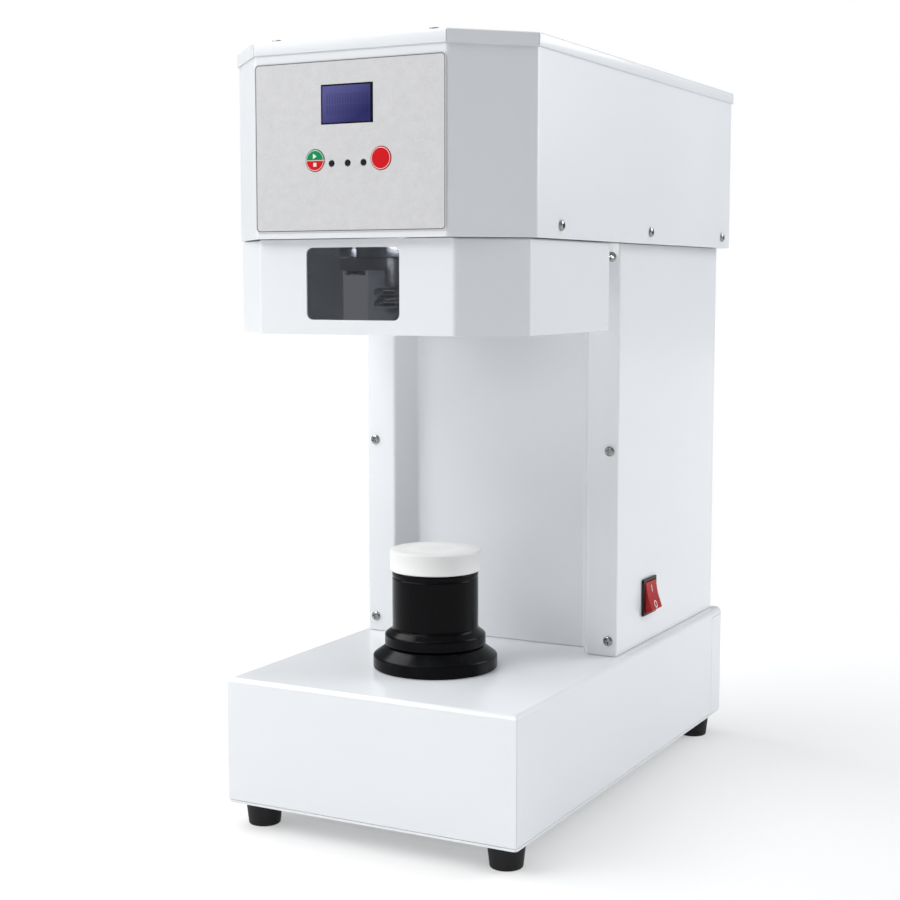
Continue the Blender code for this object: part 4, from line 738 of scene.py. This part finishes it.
text_area = inside(tree, rounded_distance(tree, x, z, TEXT_HALF_WIDTH, CELL_HEIGHT, 0.0002))
cell_mask = times(tree, text_area, cells.outputs["Color"], 0.22)
blue = mixed(tree, cell_mask, blue, (0.008, 0.007, 0.06))
# Painted shade: the dark rim of the glass is widened at its right edge.
painted_shade_x = maths(tree, "ADD", x, 0.0007)  # the overlay shades the right edge of the glass
view_edge = rounded_distance(tree, painted_shade_x, z, VIEW_HALF_WIDTH, VIEW_HALF_HEIGHT, 0.0003)
view_area_less_shade = inside(tree, view_edge, 0.0002)
tree.links.new(mixed(tree, view_area_less_shade, (0.004, 0.004, 0.008), blue), surface["Base Color"])
smear = use(tree, grain, Fine_Scale=300.0, Drift_Scale=60.0)
tree.links.new(between(tree, smear["Drift"], 0.05, 0.16), surface["Roughness"])


def button_print(name, centre, radius, upper, lower, symbols):
    """A printed button: one colour above the middle, one below, a pale ring, and simple symbols."""
    material, tree, surface = start_finish(name, upper, 0.3, Specular_IOR_Level=0.16)
    x, z = offset_from(tree, centre)
    halves = mixed(tree, inside(tree, z), upper, lower)
    reach = length_of(tree, x, z)
    outer = inside(tree, minus(tree, reach, radius * 0.93))
    inner = inside(tree, minus(tree, reach, radius * 0.885))
    marks = minus(tree, outer, inner)
    if symbols:
        size = radius * 0.2
        top = minus(tree, z, radius * 0.38)
        low = maths(tree, "ADD", z, radius * 0.38)
        slope = minus(tree, maths(tree, "ABSOLUTE", top), times(tree, minus(tree, size, x), 0.62))
        triangle = inside(tree, highest(tree, slope, minus(tree, -size, x)))
        square = inside(tree, rounded_distance(tree, x, low, size * 0.85, size * 0.85, size * 0.1))
        seam = inside(tree, minus(tree, maths(tree, "ABSOLUTE", z), radius * 0.025))
        marks = highest(tree, marks, triangle, square, seam)
    ink = mixed(tree, marks, halves, (0.78, 0.78, 0.76))
    rub = use(tree, grain, Fine_Scale=800.0, Drift_Scale=120.0)
    rubbed = mixed(tree, between(tree, rub["Drift"], 0.0, 0.012), ink, (0.5, 0.48, 0.46))
    tree.links.new(rubbed, surface["Base Color"])
    tree.links.new(between(tree, rub["Height"], 0.24, 0.4), surface["Roughness"])
    bump(tree, surface, rub["Height"], 0.00001)
    return material


def rocker_print(centre, height):
    """Red rocker plastic with the usual white line above the middle and ring below it."""
    material, tree, surface = start_finish(
        "red_rocker_moulding", (0.6, 0.012, 0.016), 0.26, Specular_IOR_Level=0.3
    )
    y, z = offset_from(tree, centre, "Y")
    top = minus(tree, z, height * 0.26)
    low = maths(tree, "ADD", z, height * 0.26)
    line = inside(tree, rounded_distance(tree, y, top, 0.0006, height * 0.11, 0.0003))
    off_ring = maths(tree, "ABSOLUTE", minus(tree, length_of(tree, y, low), height * 0.1))
    ring = inside(tree, minus(tree, off_ring, 0.0005))
    texture_of = use(tree, grain, Fine_Scale=900.0, Drift_Scale=60.0)
    red = mixed(tree, texture_of["Drift"], (0.36, 0.004, 0.008), (0.46, 0.008, 0.012))
    red = mixed(tree, use(tree, edge_wear, Width=0.0008)["Mask"], red, (0.58, 0.03, 0.03))
    marked = mixed(tree, highest(tree, line, ring), red, (0.82, 0.8, 0.78))
    tree.links.new(marked, surface["Base Color"])
    tree.links.new(between(tree, texture_of["Height"], 0.2, 0.32), surface["Roughness"])
    bump(tree, surface, texture_of["Height"], 0.00001)
    return material


RED, GREEN = (0.6, 0.003, 0.009), (0.003, 0.24, 0.08)
START_FACE, STOP_FACE = 0.0078, 0.0082  # the radius of each button's printed face
rocker_low, rocker_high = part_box("power_rocker")
red_rocker = rocker_print((rocker_low + rocker_high) / 2, rocker_high.z - rocker_low.z)
start_at, stop_at = middle_of["start_button"], middle_of["emergency_button"]
start_print = button_print("start_button_print", start_at, START_FACE, GREEN, RED, True)
stop_print = button_print("stop_button_print", stop_at, STOP_FACE, RED, RED, False)

# %% [markdown]
# ## The folded housing
# Base, column, casing, lid and guard are all folded sheet. The lid, the casing and the column flanges
# carry their screw heads in the CAD, so the heads are lifted off the copies and their places kept.
# The real screws go there later.

# %% Housing sheets
screw_places = {}


def skirt_corners(piece, low):
    """The outer corners of a skirt's lower rim in plan, each where a flat side ends."""
    near_rim, near_face, same_corner = 0.0004, 0.0002, 0.003
    rim = [v.co for v in piece.data.vertices if abs(v.co.z - low) < near_rim]
    half_x, half_y = max(place.x for place in rim), max(place.y for place in rim)
    corners = []
    for run, across, half in ((1, 0, half_x), (0, 1, half_y)):
        for side in (-1, 1):
            for end in (-1, 1):
                own = [p for p in rim if p[across] * side > half - near_face and p[run] * end > 0]
                last = max(own, key=lambda p: p[run] * end)
                if all((last - other).length > same_corner for other in corners):
                    corners.append(last.copy())
    return corners


def cut_corner_seams(piece, low, high, width=0.0007, depth=0.0008):
    """Cuts a line down each outer corner of a folded skirt, where its flaps meet."""
    corners = skirt_corners(piece, low)
    short_of_top = 0.0012
    cutter = bmesh.new()
    for corner in corners:
        turn = Matrix.Rotation(math.atan2(corner.y * 0.6, corner.x), 4, "Z")
        size = Matrix.Diagonal((depth * 2, width, high - low - short_of_top, 1))
        middle = Matrix.Translation((corner.x, corner.y, (low + high - short_of_top) / 2))
        bmesh.ops.create_cube(cutter, size=1.0, matrix=middle @ turn @ size)
    helper = new_object("seam_cutter", cutter)
    seams = piece.modifiers.new("seams", "BOOLEAN")
    seams.object = helper
    seams.operation = "DIFFERENCE"
    applied(piece)
    bpy.data.objects.remove(helper)
    print(piece.name, "corner seams:", len(corners))


def housing(name, piece_name, finish, axis=None, levels=(), bend=0.0018, seam_top=None):
    """A folded copy of one CAD sheet. Heads beyond a level on an axis are taken off and noted."""
    bm = joined_copy(name)
    for level, side in levels:
        facing = Vector([side if i == axis else 0 for i in range(3)])
        found = lift_off_heads(bm, axis, level, side)
        screw_places.setdefault(name, []).extend((place, facing) for place in found)
    piece = folded(bm, piece_name, bend)
    if seam_top:
        cut_corner_seams(piece, low_of[name].z, seam_top)
    settle(piece, finish, body_of_node[name], (name,))


column_face = low_of["column_front_panel"].y + CAD_HEAD_HEIGHT
casing_half = high_of["upper_casing"].x - CAD_HEAD_HEIGHT
lid_top = high_of["lid"].z - CAD_HEAD_HEIGHT
housing("base_cover", "base_shell", powder_coat, bend=0.001)
housing("base_rear_panel", "base_back_shell", powder_coat)
housing("base_plate", "base_floor_plate", powder_coat)
housing("column_front_panel", "column_recess_sheet", powder_coat, 1, [(column_face, -1)])
housing("column_cover", "column_shell", powder_coat)
housing("upper_casing", "head_casing", powder_coat, 0, [(casing_half, 1), (-casing_half, -1)])
housing("lid", "head_lid", powder_coat, 2, [(lid_top, 1)], bend=0.0012, seam_top=lid_top)
housing("head_guard", "head_guard_shell", powder_coat)
for name in ("column_post_left", "column_post_right", "head_plate", "lift_frame", "shaft_bridge"):
    housing(name, name + "_plate", brushed_steel, bend=0.0025)
print("screws found:", {name: len(found) for name, found in screw_places.items()})

# %% [markdown]
# ## The can stand
# The stand is turned and black: a flanged collar bolted to the base, and a tube that rises out of it
# on the lift spindle. The white disc on top is plastic, softened all round so that it can't dent a
# can. The tube's fine groove marks where the disc's spigot ends. Profiles are radius and height.

# %% Turned stand
GAP = 0.0003  # what the CAD leaves between two pieces that touch
collar_low, collar_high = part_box("stand_collar")
collar_radius, collar_top = collar_high.x, collar_high.z
base_top = high_of["base_cover"].z
collar_bore, collar_spigot, cone_top = 0.0263, 0.03, 0.0388
collar_profile = [
    (collar_bore, collar_low.z),
    (collar_spigot, collar_low.z),
    (collar_spigot, base_top + GAP),
    (collar_radius, base_top + GAP),
    (collar_radius, collar_top - 0.008),
    (cone_top, collar_top),
    (collar_bore, collar_top),
]
collar = turned_piece("stand_collar_turned", collar_profile, stand_axis, 0.0011, 128)
settle(collar, black_stand, "frame", ("stand_collar",))

tube_low, tube_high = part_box("stand_tube")
bead, tube, screw_hole = tube_high.x, 0.0343, 0.0083
foot_z, rim_z = tube_low.z, tube_high.z
groove_radius, groove_z = tube - 0.0006, rim_z - 0.0049
inner_wall, floor_z = tube - 0.0033, foot_z + 0.006
tube_profile = [
    (screw_hole, foot_z),
    (bead, foot_z),
    (bead, foot_z + 0.0086),
    (tube + 0.0006, foot_z + 0.0126),
    (tube, foot_z + 0.0145),
    (tube, rim_z - 0.0054),
    (groove_radius, groove_z),
    (groove_radius, groove_z + 0.0007),
    (tube, rim_z - 0.0036),
    (tube, rim_z),
    (inner_wall, rim_z),
    (inner_wall, floor_z),
    (screw_hole, floor_z),
]
tube_piece = turned_piece("stand_tube_turned", tube_profile, stand_axis, 0.0012, 128)
settle(tube_piece, black_stand, "tray", ("stand_tube",))

disc_low, disc_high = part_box("tray_disc")
disc, spigot = disc_high.x, inner_wall - GAP
disc_profile = [
    (0.0, disc_low.z),
    (spigot, disc_low.z),
    (spigot, rim_z + GAP),
    (disc, rim_z + GAP),
    (disc, disc_high.z - 0.0009),
    (disc - 0.0022, disc_high.z),
    (0.0, disc_high.z),
]
disc_piece = turned_piece("tray_disc_moulded", disc_profile, stand_axis, 0.0021, 128)
settle(disc_piece, tray_plastic, "tray", ("tray_disc",))

# %% [markdown]
# ## Feet
# Four rubber feet taper downwards. Each has a deep recess with the head of its fixing screw inside,
# and a narrow straight band at its top.

# %% Rubber feet
RECESS_RADIUS, RECESS_TOP, FOOT_TIP_RADIUS = 0.006, 0.008, 0.0124

for name in ("foot_front_left", "foot_front_right", "foot_rear_left", "foot_rear_right"):
    low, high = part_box(name)
    centre = (low + high) / 2
    top_radius = (high.x - low.x) / 2
    foot_profile = [
        (RECESS_RADIUS, 0.0),
        (FOOT_TIP_RADIUS, 0.0),
        (top_radius - 0.0004, high.z - 0.0016),
        (top_radius, high.z - 0.0012),
        (top_radius, high.z),
        (0.0, high.z),
        (0.0, RECESS_TOP),
        (RECESS_RADIUS, RECESS_TOP),
    ]
    foot = turned_piece(name + "_moulded", foot_profile, (centre.x, centre.y), 0.0012, 64)
    settle(foot, rubber, "frame", (name,))
    head_place = Vector((centre.x, centre.y, RECESS_TOP))
    screw_places.setdefault("feet", []).append((head_place, Vector((0, 0, -1))))
print("feet:", len(screw_places["feet"]))

# %% [markdown]
# ## Seaming tools
# Two rollers with different grooves fold the can's rim over its lid in two passes. They are ground
# steel and show through the window, so they are turned finely here.

# %% Seaming rollers
ROLLER_BORE = 0.0053

for number, groove in ((1, 0.0042), (2, 0.0026)):
    name = f"seaming_roller_{number}"
    low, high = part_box(name)
    centre, radius = (low + high) / 2, (high.x - low.x) / 2
    root, chamfer = radius - groove * 0.6, 0.002
    roller_profile = [
        (ROLLER_BORE, low.z),
        (radius - chamfer, low.z),
        (radius, low.z + chamfer),
        (radius, centre.z - 0.0028),
        (root, centre.z - 0.0006),
        (root, centre.z + 0.0006),
        (radius, centre.z + 0.0028),
        (radius, high.z - chamfer),
        (radius - chamfer, high.z),
        (ROLLER_BORE, high.z),
    ]
    finish_name = f"ground_roller_{number}"
    roller_steel = lathed(
        finish_name, (0.66, 0.67, 0.68), 0.16, 1.0, 0.000008, (0.85, 0.85, 0.85), centre
    )
    roller = turned_piece(name + "_ground", roller_profile, (centre.x, centre.y), 0.0004, 64)
    settle(roller, roller_steel, f"roller_{number}", (name,))

# %% [markdown]
# ## Control panel
# The overlay film has cut-outs for the display, the two buttons and the three lamps. The display
# shows in its opening, slightly sunk, and the buttons are shallow domed caps. The lamps are dark
# until lit, so only their rims and small domes show.

# %% Overlay, display and lamps


def spun_front(profile, centre, radius=0.0005, steps=72):
    """A turned shape whose axis points to the front. The profile's height is measured towards -Y."""
    bm = lathe(profile, (0, 0), radius, steps)
    for vertex in bm.verts:
        x, y, z = vertex.co
        vertex.co = (centre.x + x, -z, centre.z + y)
    return bm


overlay = folded(joined_copy("control_overlay"), "control_overlay_film", 0.0003, 0.0001)
settle(overlay, overlay_print, "frame", ("control_overlay",))
module = bevelled(joined_copy("display_module"), "display_housing", 0.0005)
settle(module, moulding, "frame", ("display_module",))
display_face = low_of["display_module"].y
glass_outline = rounded_outline(
    display_middle.x, display_middle.z, GLASS_WIDTH, GLASS_HEIGHT, 0.0006
)
glass_plate = pushed(glass_outline, display_face - 0.00045, display_face - 0.00002)
glass = bevelled(glass_plate, "lcd_window", 0.0001)
settle(glass, lcd_print, "frame", slot="display_glass")

for name in ("lamp_left", "lamp_middle", "lamp_right"):
    low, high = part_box(name)
    centre, radius = (low + high) / 2, (high.x - low.x) / 2
    lamp_profile = [
        (0.0, -high.y),
        (radius, -high.y),
        (radius, -low.y - 0.0001),
        (radius - 0.0003, -low.y),
        (radius - 0.0007, -low.y - 0.0004),
        (radius - 0.0009, -low.y - 0.0005),
        (0.0009, -low.y - 0.0001),
        (0.0, -low.y),
    ]
    lamp = new_object(name + "_lens", spun_front(lamp_profile, centre, 0.0001, 40))
    shade(lamp, 50)
    settle(lamp, lamp_lens, "frame", (name,))

# %% Buttons
FLANGE_THICK = 0.0012

for name, face_radius, print_of in (
    ("start_button", START_FACE, start_print),
    ("emergency_button", STOP_FACE, stop_print),
):
    low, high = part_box(name)
    centre, flange = (low + high) / 2, (high.x - low.x) / 2
    cap_profile = [
        (0.0, -high.y),
        (flange, -high.y),
        (flange, -high.y + FLANGE_THICK),
        (face_radius, -high.y + FLANGE_THICK),
        (face_radius, -low.y - 0.0005),
        (face_radius - 0.0006, -low.y),
        (0.0, -low.y),
    ]
    cap = new_object(name + "_cap", spun_front(cap_profile, centre, 0.0004))
    shade(cap, 35)
    settle(cap, print_of, body_of_node[name], (name,))

# %% Rocker switch and window pane
rocker_bezel = bevelled(joined_copy("rocker_frame"), "rocker_bezel", 0.0008)
settle(rocker_bezel, moulding, "frame", ("rocker_frame",))
rocker = bevelled(joined_copy("power_rocker"), "power_rocker_moulded", 0.0007)
settle(rocker, red_rocker, "rocker", ("power_rocker",))
pane = bevelled(joined_copy("window_pane"), "window_pane_acrylic", 0.0004, 2)
settle(pane, smoked, "frame", ("window_pane",))

# %% [markdown]
# ## Everything else from the CAD
# The bearings, shafts, pulleys, arms, motors and boards keep their CAD shape. Each gets a joined copy
# with its sharp edges broken by a quarter of a millimetre, as a fitter does with a file, and the
# finish of its material slot. The dictionary gives each material slot its finish.

# %% Machine parts
finish_of_slot = {
    "white_paint": powder_coat,
    "machined_steel": machined_steel,
    "polished_steel": turned_steel,
    "black_rubber": belt_rubber,
    "black_plastic": moulding,
    "motor_paint": motor_enamel,
    "circuit_board": board_lacquer,
    "bronze": bronze,
    "display_glass": lcd_print,
}
stood_for = {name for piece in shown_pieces() for name in piece.get("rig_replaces", [])}
for name in sorted(set(nodes) - stood_for):
    finish = finish_of_slot[slot_of_node[name]]
    part = bevelled(joined_copy(name), name + "_part", 0.00025, 2, 35)
    settle(part, finish, body_of_node[name], (name,))
print("fitted parts:", len(set(nodes) - stood_for))

# %% [markdown]
# ## Screws
# Forty pan-head screws hold the sheets, all alike, so Geometry Nodes make them. One head is
# built inside the tree: a round disc whose top rings are raised into a dome, with a cross cut by a
# Mesh Boolean. Instances of it go to points that carry the direction in which each screw faces, and
# each is turned by a random angle, as a screwdriver leaves it.

# %% Pan-head screw tree


def make_screw_tree():
    tree, given, out = start_group(
        "GeometryNodeTree",
        "pan_head_screws",
        [
            ("Points", "NodeSocketGeometry", None),
            ("Head Radius", FLOAT, 0.004),
            ("Head Height", FLOAT, CAD_HEAD_HEIGHT),
            ("Recess Length", FLOAT, 0.005),
            ("Recess Width", FLOAT, 0.0013),
            ("Recess Depth", FLOAT, 0.0015),
            ("Seed", "NodeSocketInt", 7),
            ("Finish", "NodeSocketMaterial", None),
        ],
        [("Screws", "NodeSocketGeometry", None)],
    )
    height = given["Head Height"]
    blank = node(
        tree,
        "GeometryNodeMeshCylinder",
        {"Vertices": 32, "Side Segments": 2, "Fill Segments": 5, "Radius": given["Head Radius"],
         "Depth": times(tree, height, 0.5)},
        fill_type="TRIANGLE_FAN",
    )
    position = node(tree, "GeometryNodeInputPosition").outputs[0]
    x, y, z = node(tree, "ShaderNodeSeparateXYZ", {0: position}).outputs
    reach = maths(tree, "DIVIDE", length_of(tree, x, y), given["Head Radius"])
    fall = minus(tree, 1.0, times(tree, reach, reach, reach))
    crown = maths(tree, "SQRT", highest(tree, fall, 0.0))
    on_top = maths(tree, "GREATER_THAN", z, times(tree, height, 0.2))
    lift = times(tree, crown, on_top, times(tree, height, 0.5))
    lift = maths(tree, "ADD", lift, times(tree, height, 0.25))
    raised = node(tree, "ShaderNodeCombineXYZ", {2: lift})
    shape = {"Geometry": blank.outputs["Mesh"], "Offset": raised.outputs[0]}
    domed = node(tree, "GeometryNodeSetPosition", shape)
    cross = node(tree, "GeometryNodeJoinGeometry")
    long, thin = given["Recess Length"], given["Recess Width"]
    for across, along in ((long, thin), (thin, long)):
        size = {0: across, 1: along, 2: times(tree, given["Recess Depth"], 2.0)}
        size = node(tree, "ShaderNodeCombineXYZ", size).outputs[0]
        arm = node(tree, "GeometryNodeMeshCube", {"Size": size})
        tree.links.new(arm.outputs["Mesh"], cross.inputs[0])
    up = node(tree, "ShaderNodeCombineXYZ", {2: height}).outputs[0]
    cutter = node(
        tree, "GeometryNodeTransform", {"Geometry": cross.outputs[0], "Translation": up}
    )
    cut = node(
        tree,
        "GeometryNodeMeshBoolean",
        {"Mesh 1": domed.outputs[0]},
        operation="DIFFERENCE",
        solver="EXACT",
    )
    cut.inputs["Self Intersection"].default_value = True
    tree.links.new(cutter.outputs[0], cut.inputs["Mesh 2"])
    name = {"Name": "facing"}
    facing = node(tree, "GeometryNodeInputNamedAttribute", name, data_type="FLOAT_VECTOR")
    turn = node(tree, "FunctionNodeAlignRotationToVector", {"Vector": facing.outputs[0]}, axis="Z")
    draw = {"Min": 0.0, "Max": 6.28, "Seed": given["Seed"]}
    spin = node(tree, "FunctionNodeRandomValue", draw, data_type="FLOAT")
    angle = {"Axis": (0, 0, 1), "Angle": spin.outputs[1]}
    own = node(tree, "FunctionNodeAxisAngleToRotation", angle)
    turns = {0: turn.outputs[0], 1: own.outputs[0]}
    both = node(tree, "FunctionNodeRotateRotation", turns, rotation_space="LOCAL")
    spread = node(
        tree,
        "GeometryNodeInstanceOnPoints",
        {"Points": given["Points"], "Instance": cut.outputs["Mesh"], "Rotation": both.outputs[0]},
    )
    real = node(tree, "GeometryNodeRealizeInstances", {0: spread.outputs[0]})
    finish = {"Geometry": real.outputs[0], "Material": given["Finish"]}
    tree.links.new(node(tree, "GeometryNodeSetMaterial", finish).outputs[0], out[0])
    return tree


screw_tree = make_screw_tree()

# %% Put the screws in


def run_tree(name, points, tree, **values):
    """An object whose mesh is what a Geometry Nodes tree makes from the given points."""
    piece = bpy.data.objects.new(name, points)
    scene.collection.objects.link(piece)
    modifier = piece.modifiers.new(tree.name, "NODES")
    modifier.node_group = tree
    items = tree.interface.items_tree
    sockets = {item.name: item.identifier for item in items if item.in_out == "INPUT"}
    for key, value in values.items():
        modifier[sockets[key.replace("_", " ")]] = value
    applied(piece)
    return piece


def screws(name, places, **sizes):
    """One piece of screws, from their places and the directions in which they face."""
    points = bpy.data.meshes.new(name)
    points.from_pydata([tuple(place) for place, _ in places], [], [])
    facing = points.attributes.new("facing", "FLOAT_VECTOR", "POINT")
    facing.data.foreach_set("vector", [value for _, direction in places for value in direction])
    piece = run_tree(name, points, screw_tree, Finish=screw_zinc, **sizes)
    shade(piece, 40)
    settle(piece, screw_zinc, "frame", slot="machined_steel")
    print(name, len(places), "screws,", len(piece.data.polygons), "faces")


def rows(xs, ys, zs, facing):
    """A screw at every mix of the given x, y and z."""
    return [((x, y, z), facing) for x in xs for y in ys for z in zs]


screws("lid_screws", screw_places["lid"])
screws("casing_screws", screw_places["upper_casing"])
screws("column_screws", screw_places["column_front_panel"])
screws("foot_screws", screw_places["feet"], Head_Radius=0.0045, Head_Height=0.003)

# %% Screws at the back and below
BACK, DOWN = (0, 1, 0), (0, 0, -1)
cover_back = high_of["column_cover"].y
rear_back = high_of["base_rear_panel"].y
plate_under = low_of["base_plate"].z
cover_places = rows((-0.108, 0.108), (cover_back,), (0.133, 0.289, 0.445), BACK)
rear_places = rows((-0.11, 0.11), (rear_back,), (0.036, 0.104), BACK)
plate_places = rows((-0.112, 0.112), (-0.12, 0.01, 0.14), (plate_under,), DOWN)
screws("cover_screws", cover_places)
screws("rear_panel_screws", rear_places)
screws("base_plate_screws", plate_places, Head_Radius=0.003, Head_Height=0.0018)

# %% [markdown]
# ## Studio
# The machine stands on a pale table in front of white. A large soft light from the front left is the
# key, and a second from the right lights the long side. The bevelled front corner faces the gap
# between them, so it stays a shade darker, which is what shows its shape on a white object. The
# floor is mostly plain paint near the machine, where it keeps the shadow, and turns white further
# out.

# %% Floor and world
PAINT_REACH, WHITE_REACH = 0.34, 0.95  # where the plain paint starts to turn white, and where it has
LEAST_WHITE = 0.35
ROOM_LIGHT = 0.23


def make_floor():
    bm = bmesh.new()
    bmesh.ops.create_circle(bm, cap_ends=True, segments=96, radius=9.0)
    floor = new_object("table_top", bm)
    material = bpy.data.materials.new("table_paint")
    material.use_nodes = True
    tree = material.node_tree
    tree.nodes.clear()
    place = node(tree, "ShaderNodeTexCoord").outputs["Object"]
    reach = node(tree, "ShaderNodeVectorMath", {0: place}, operation="LENGTH").outputs["Value"]
    far = {"Value": reach, "From Min": PAINT_REACH, "From Max": WHITE_REACH}
    far = node(tree, "ShaderNodeMapRange", far, interpolation_type="SMOOTHSTEP")
    rays = node(tree, "ShaderNodeLightPath").outputs
    seen = highest(tree, *(rays[f"Is {kind} Ray"] for kind in ("Camera", "Glossy", "Transmission")))
    share = times(tree, highest(tree, far.outputs[0], LEAST_WHITE), seen)
    paint = node(tree, "ShaderNodeBsdfDiffuse", {"Color": (0.9, 0.9, 0.9, 1)})
    white = node(tree, "ShaderNodeEmission", {"Color": (1, 1, 1, 1), "Strength": 1.0})
    mix = node(tree, "ShaderNodeMixShader", {0: share, 1: paint.outputs[0], 2: white.outputs[0]})
    node(tree, "ShaderNodeOutputMaterial", {"Surface": mix.outputs[0]})
    floor.data.materials.append(material)


def make_world():
    world = bpy.data.worlds.new("studio")
    scene.world = world
    world.use_nodes = True
    tree = world.node_tree
    tree.nodes.clear()
    rays = node(tree, "ShaderNodeLightPath").outputs
    seen = highest(tree, rays["Is Camera Ray"], rays["Is Transmission Ray"])
    room = node(tree, "ShaderNodeBackground", {"Color": (0.95, 0.97, 1, 1), "Strength": ROOM_LIGHT})
    white = node(tree, "ShaderNodeBackground", {"Color": (1, 1, 1, 1), "Strength": 1.0})
    mix = node(tree, "ShaderNodeMixShader", {0: seen, 1: room.outputs[0], 2: white.outputs[0]})
    node(tree, "ShaderNodeOutputWorld", {"Surface": mix.outputs[0]})


make_floor()
make_world()
print(f"floor: plain paint to {PAINT_REACH} m, white from {WHITE_REACH} m")

# %% Soft lights
LIGHT_AIM = (0, 0, 0.3)


def soft_light(name, place, aim, size, power, tint=(1, 1, 1)):
    """A rectangular light that faces the point aim and isn't seen itself."""
    data = bpy.data.lights.new(name, "AREA")
    data.shape = "RECTANGLE"
    data.size, data.size_y = size
    data.energy = power
    data.color = tint
    light = bpy.data.objects.new(name, data)
    scene.collection.objects.link(light)
    light.location = place
    light.rotation_euler = (Vector(aim) - light.location).to_track_quat("-Z", "Y").to_euler()
    light.visible_camera = False


def studio_light(name, azimuth, height, distance, size, power, tint=(1, 1, 1)):
    """A light round the machine, aimed at its middle. Azimuth 0 is in front, and 90 is right."""
    turn = math.radians(azimuth)
    place = (distance * math.sin(turn), -distance * math.cos(turn), height)
    soft_light(name, place, LIGHT_AIM, size, power, tint)


studio_light("key_light", -54, 1.2, 2.3, (1.8, 1.8), 13, (1, 0.995, 0.98))
studio_light("side_light", 130, 1.3, 2.1, (1.5, 1.5), 34, (0.97, 0.985, 1))
studio_light("front_top_light", -32, 2.0, 1.9, (1.6, 1.2), 30)
studio_light("top_light", 0, 2.6, 0.3, (2.0, 2.0), 14)
studio_light("left_top_light", -88, 1.9, 1.3, (1.2, 1.2), 22)
studio_light("low_front_light", -4, 0.5, 2.3, (0.9, 0.6), 2.2)

# A small light behind the smoked pane, which the machine doesn't have, picks out the seaming head.
pane_low, pane_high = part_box("window_pane")
behind = ((pane_low.x + pane_high.x) / 2, pane_high.y + 0.008, pane_high.z + 0.004)
soft_light("head_light", behind, (0.01, axis_y, behind[2] - 0.006), (0.08, 0.012), 0.4)
print("lights:", len(bpy.data.lights))

# %% [markdown]
# ## Camera
# A slightly long lens a little above the middle of the machine, looking from the front right.

# %% Camera
LENS_MM = 65.7
CAMERA_PLACE = (0.6148, -1.2434, 0.4252)
CAMERA_LOOKS_ALONG = Vector((-0.4652, 0.8793, -0.1016))
camera_data = bpy.data.cameras.new("camera")
camera_data.lens = LENS_MM
camera = bpy.data.objects.new("camera", camera_data)
scene.collection.objects.link(camera)
camera.location = CAMERA_PLACE
camera.rotation_euler = CAMERA_LOOKS_ALONG.to_track_quat("-Z", "Y").to_euler()
scene.camera = camera
scene.view_settings.view_transform = "Standard"
print(f"camera {camera.location.length:.2f} m from the origin, lens {LENS_MM} mm")

# %% Finish
for material in [material for material in bpy.data.materials if material.users == 0]:
    bpy.data.materials.remove(material)
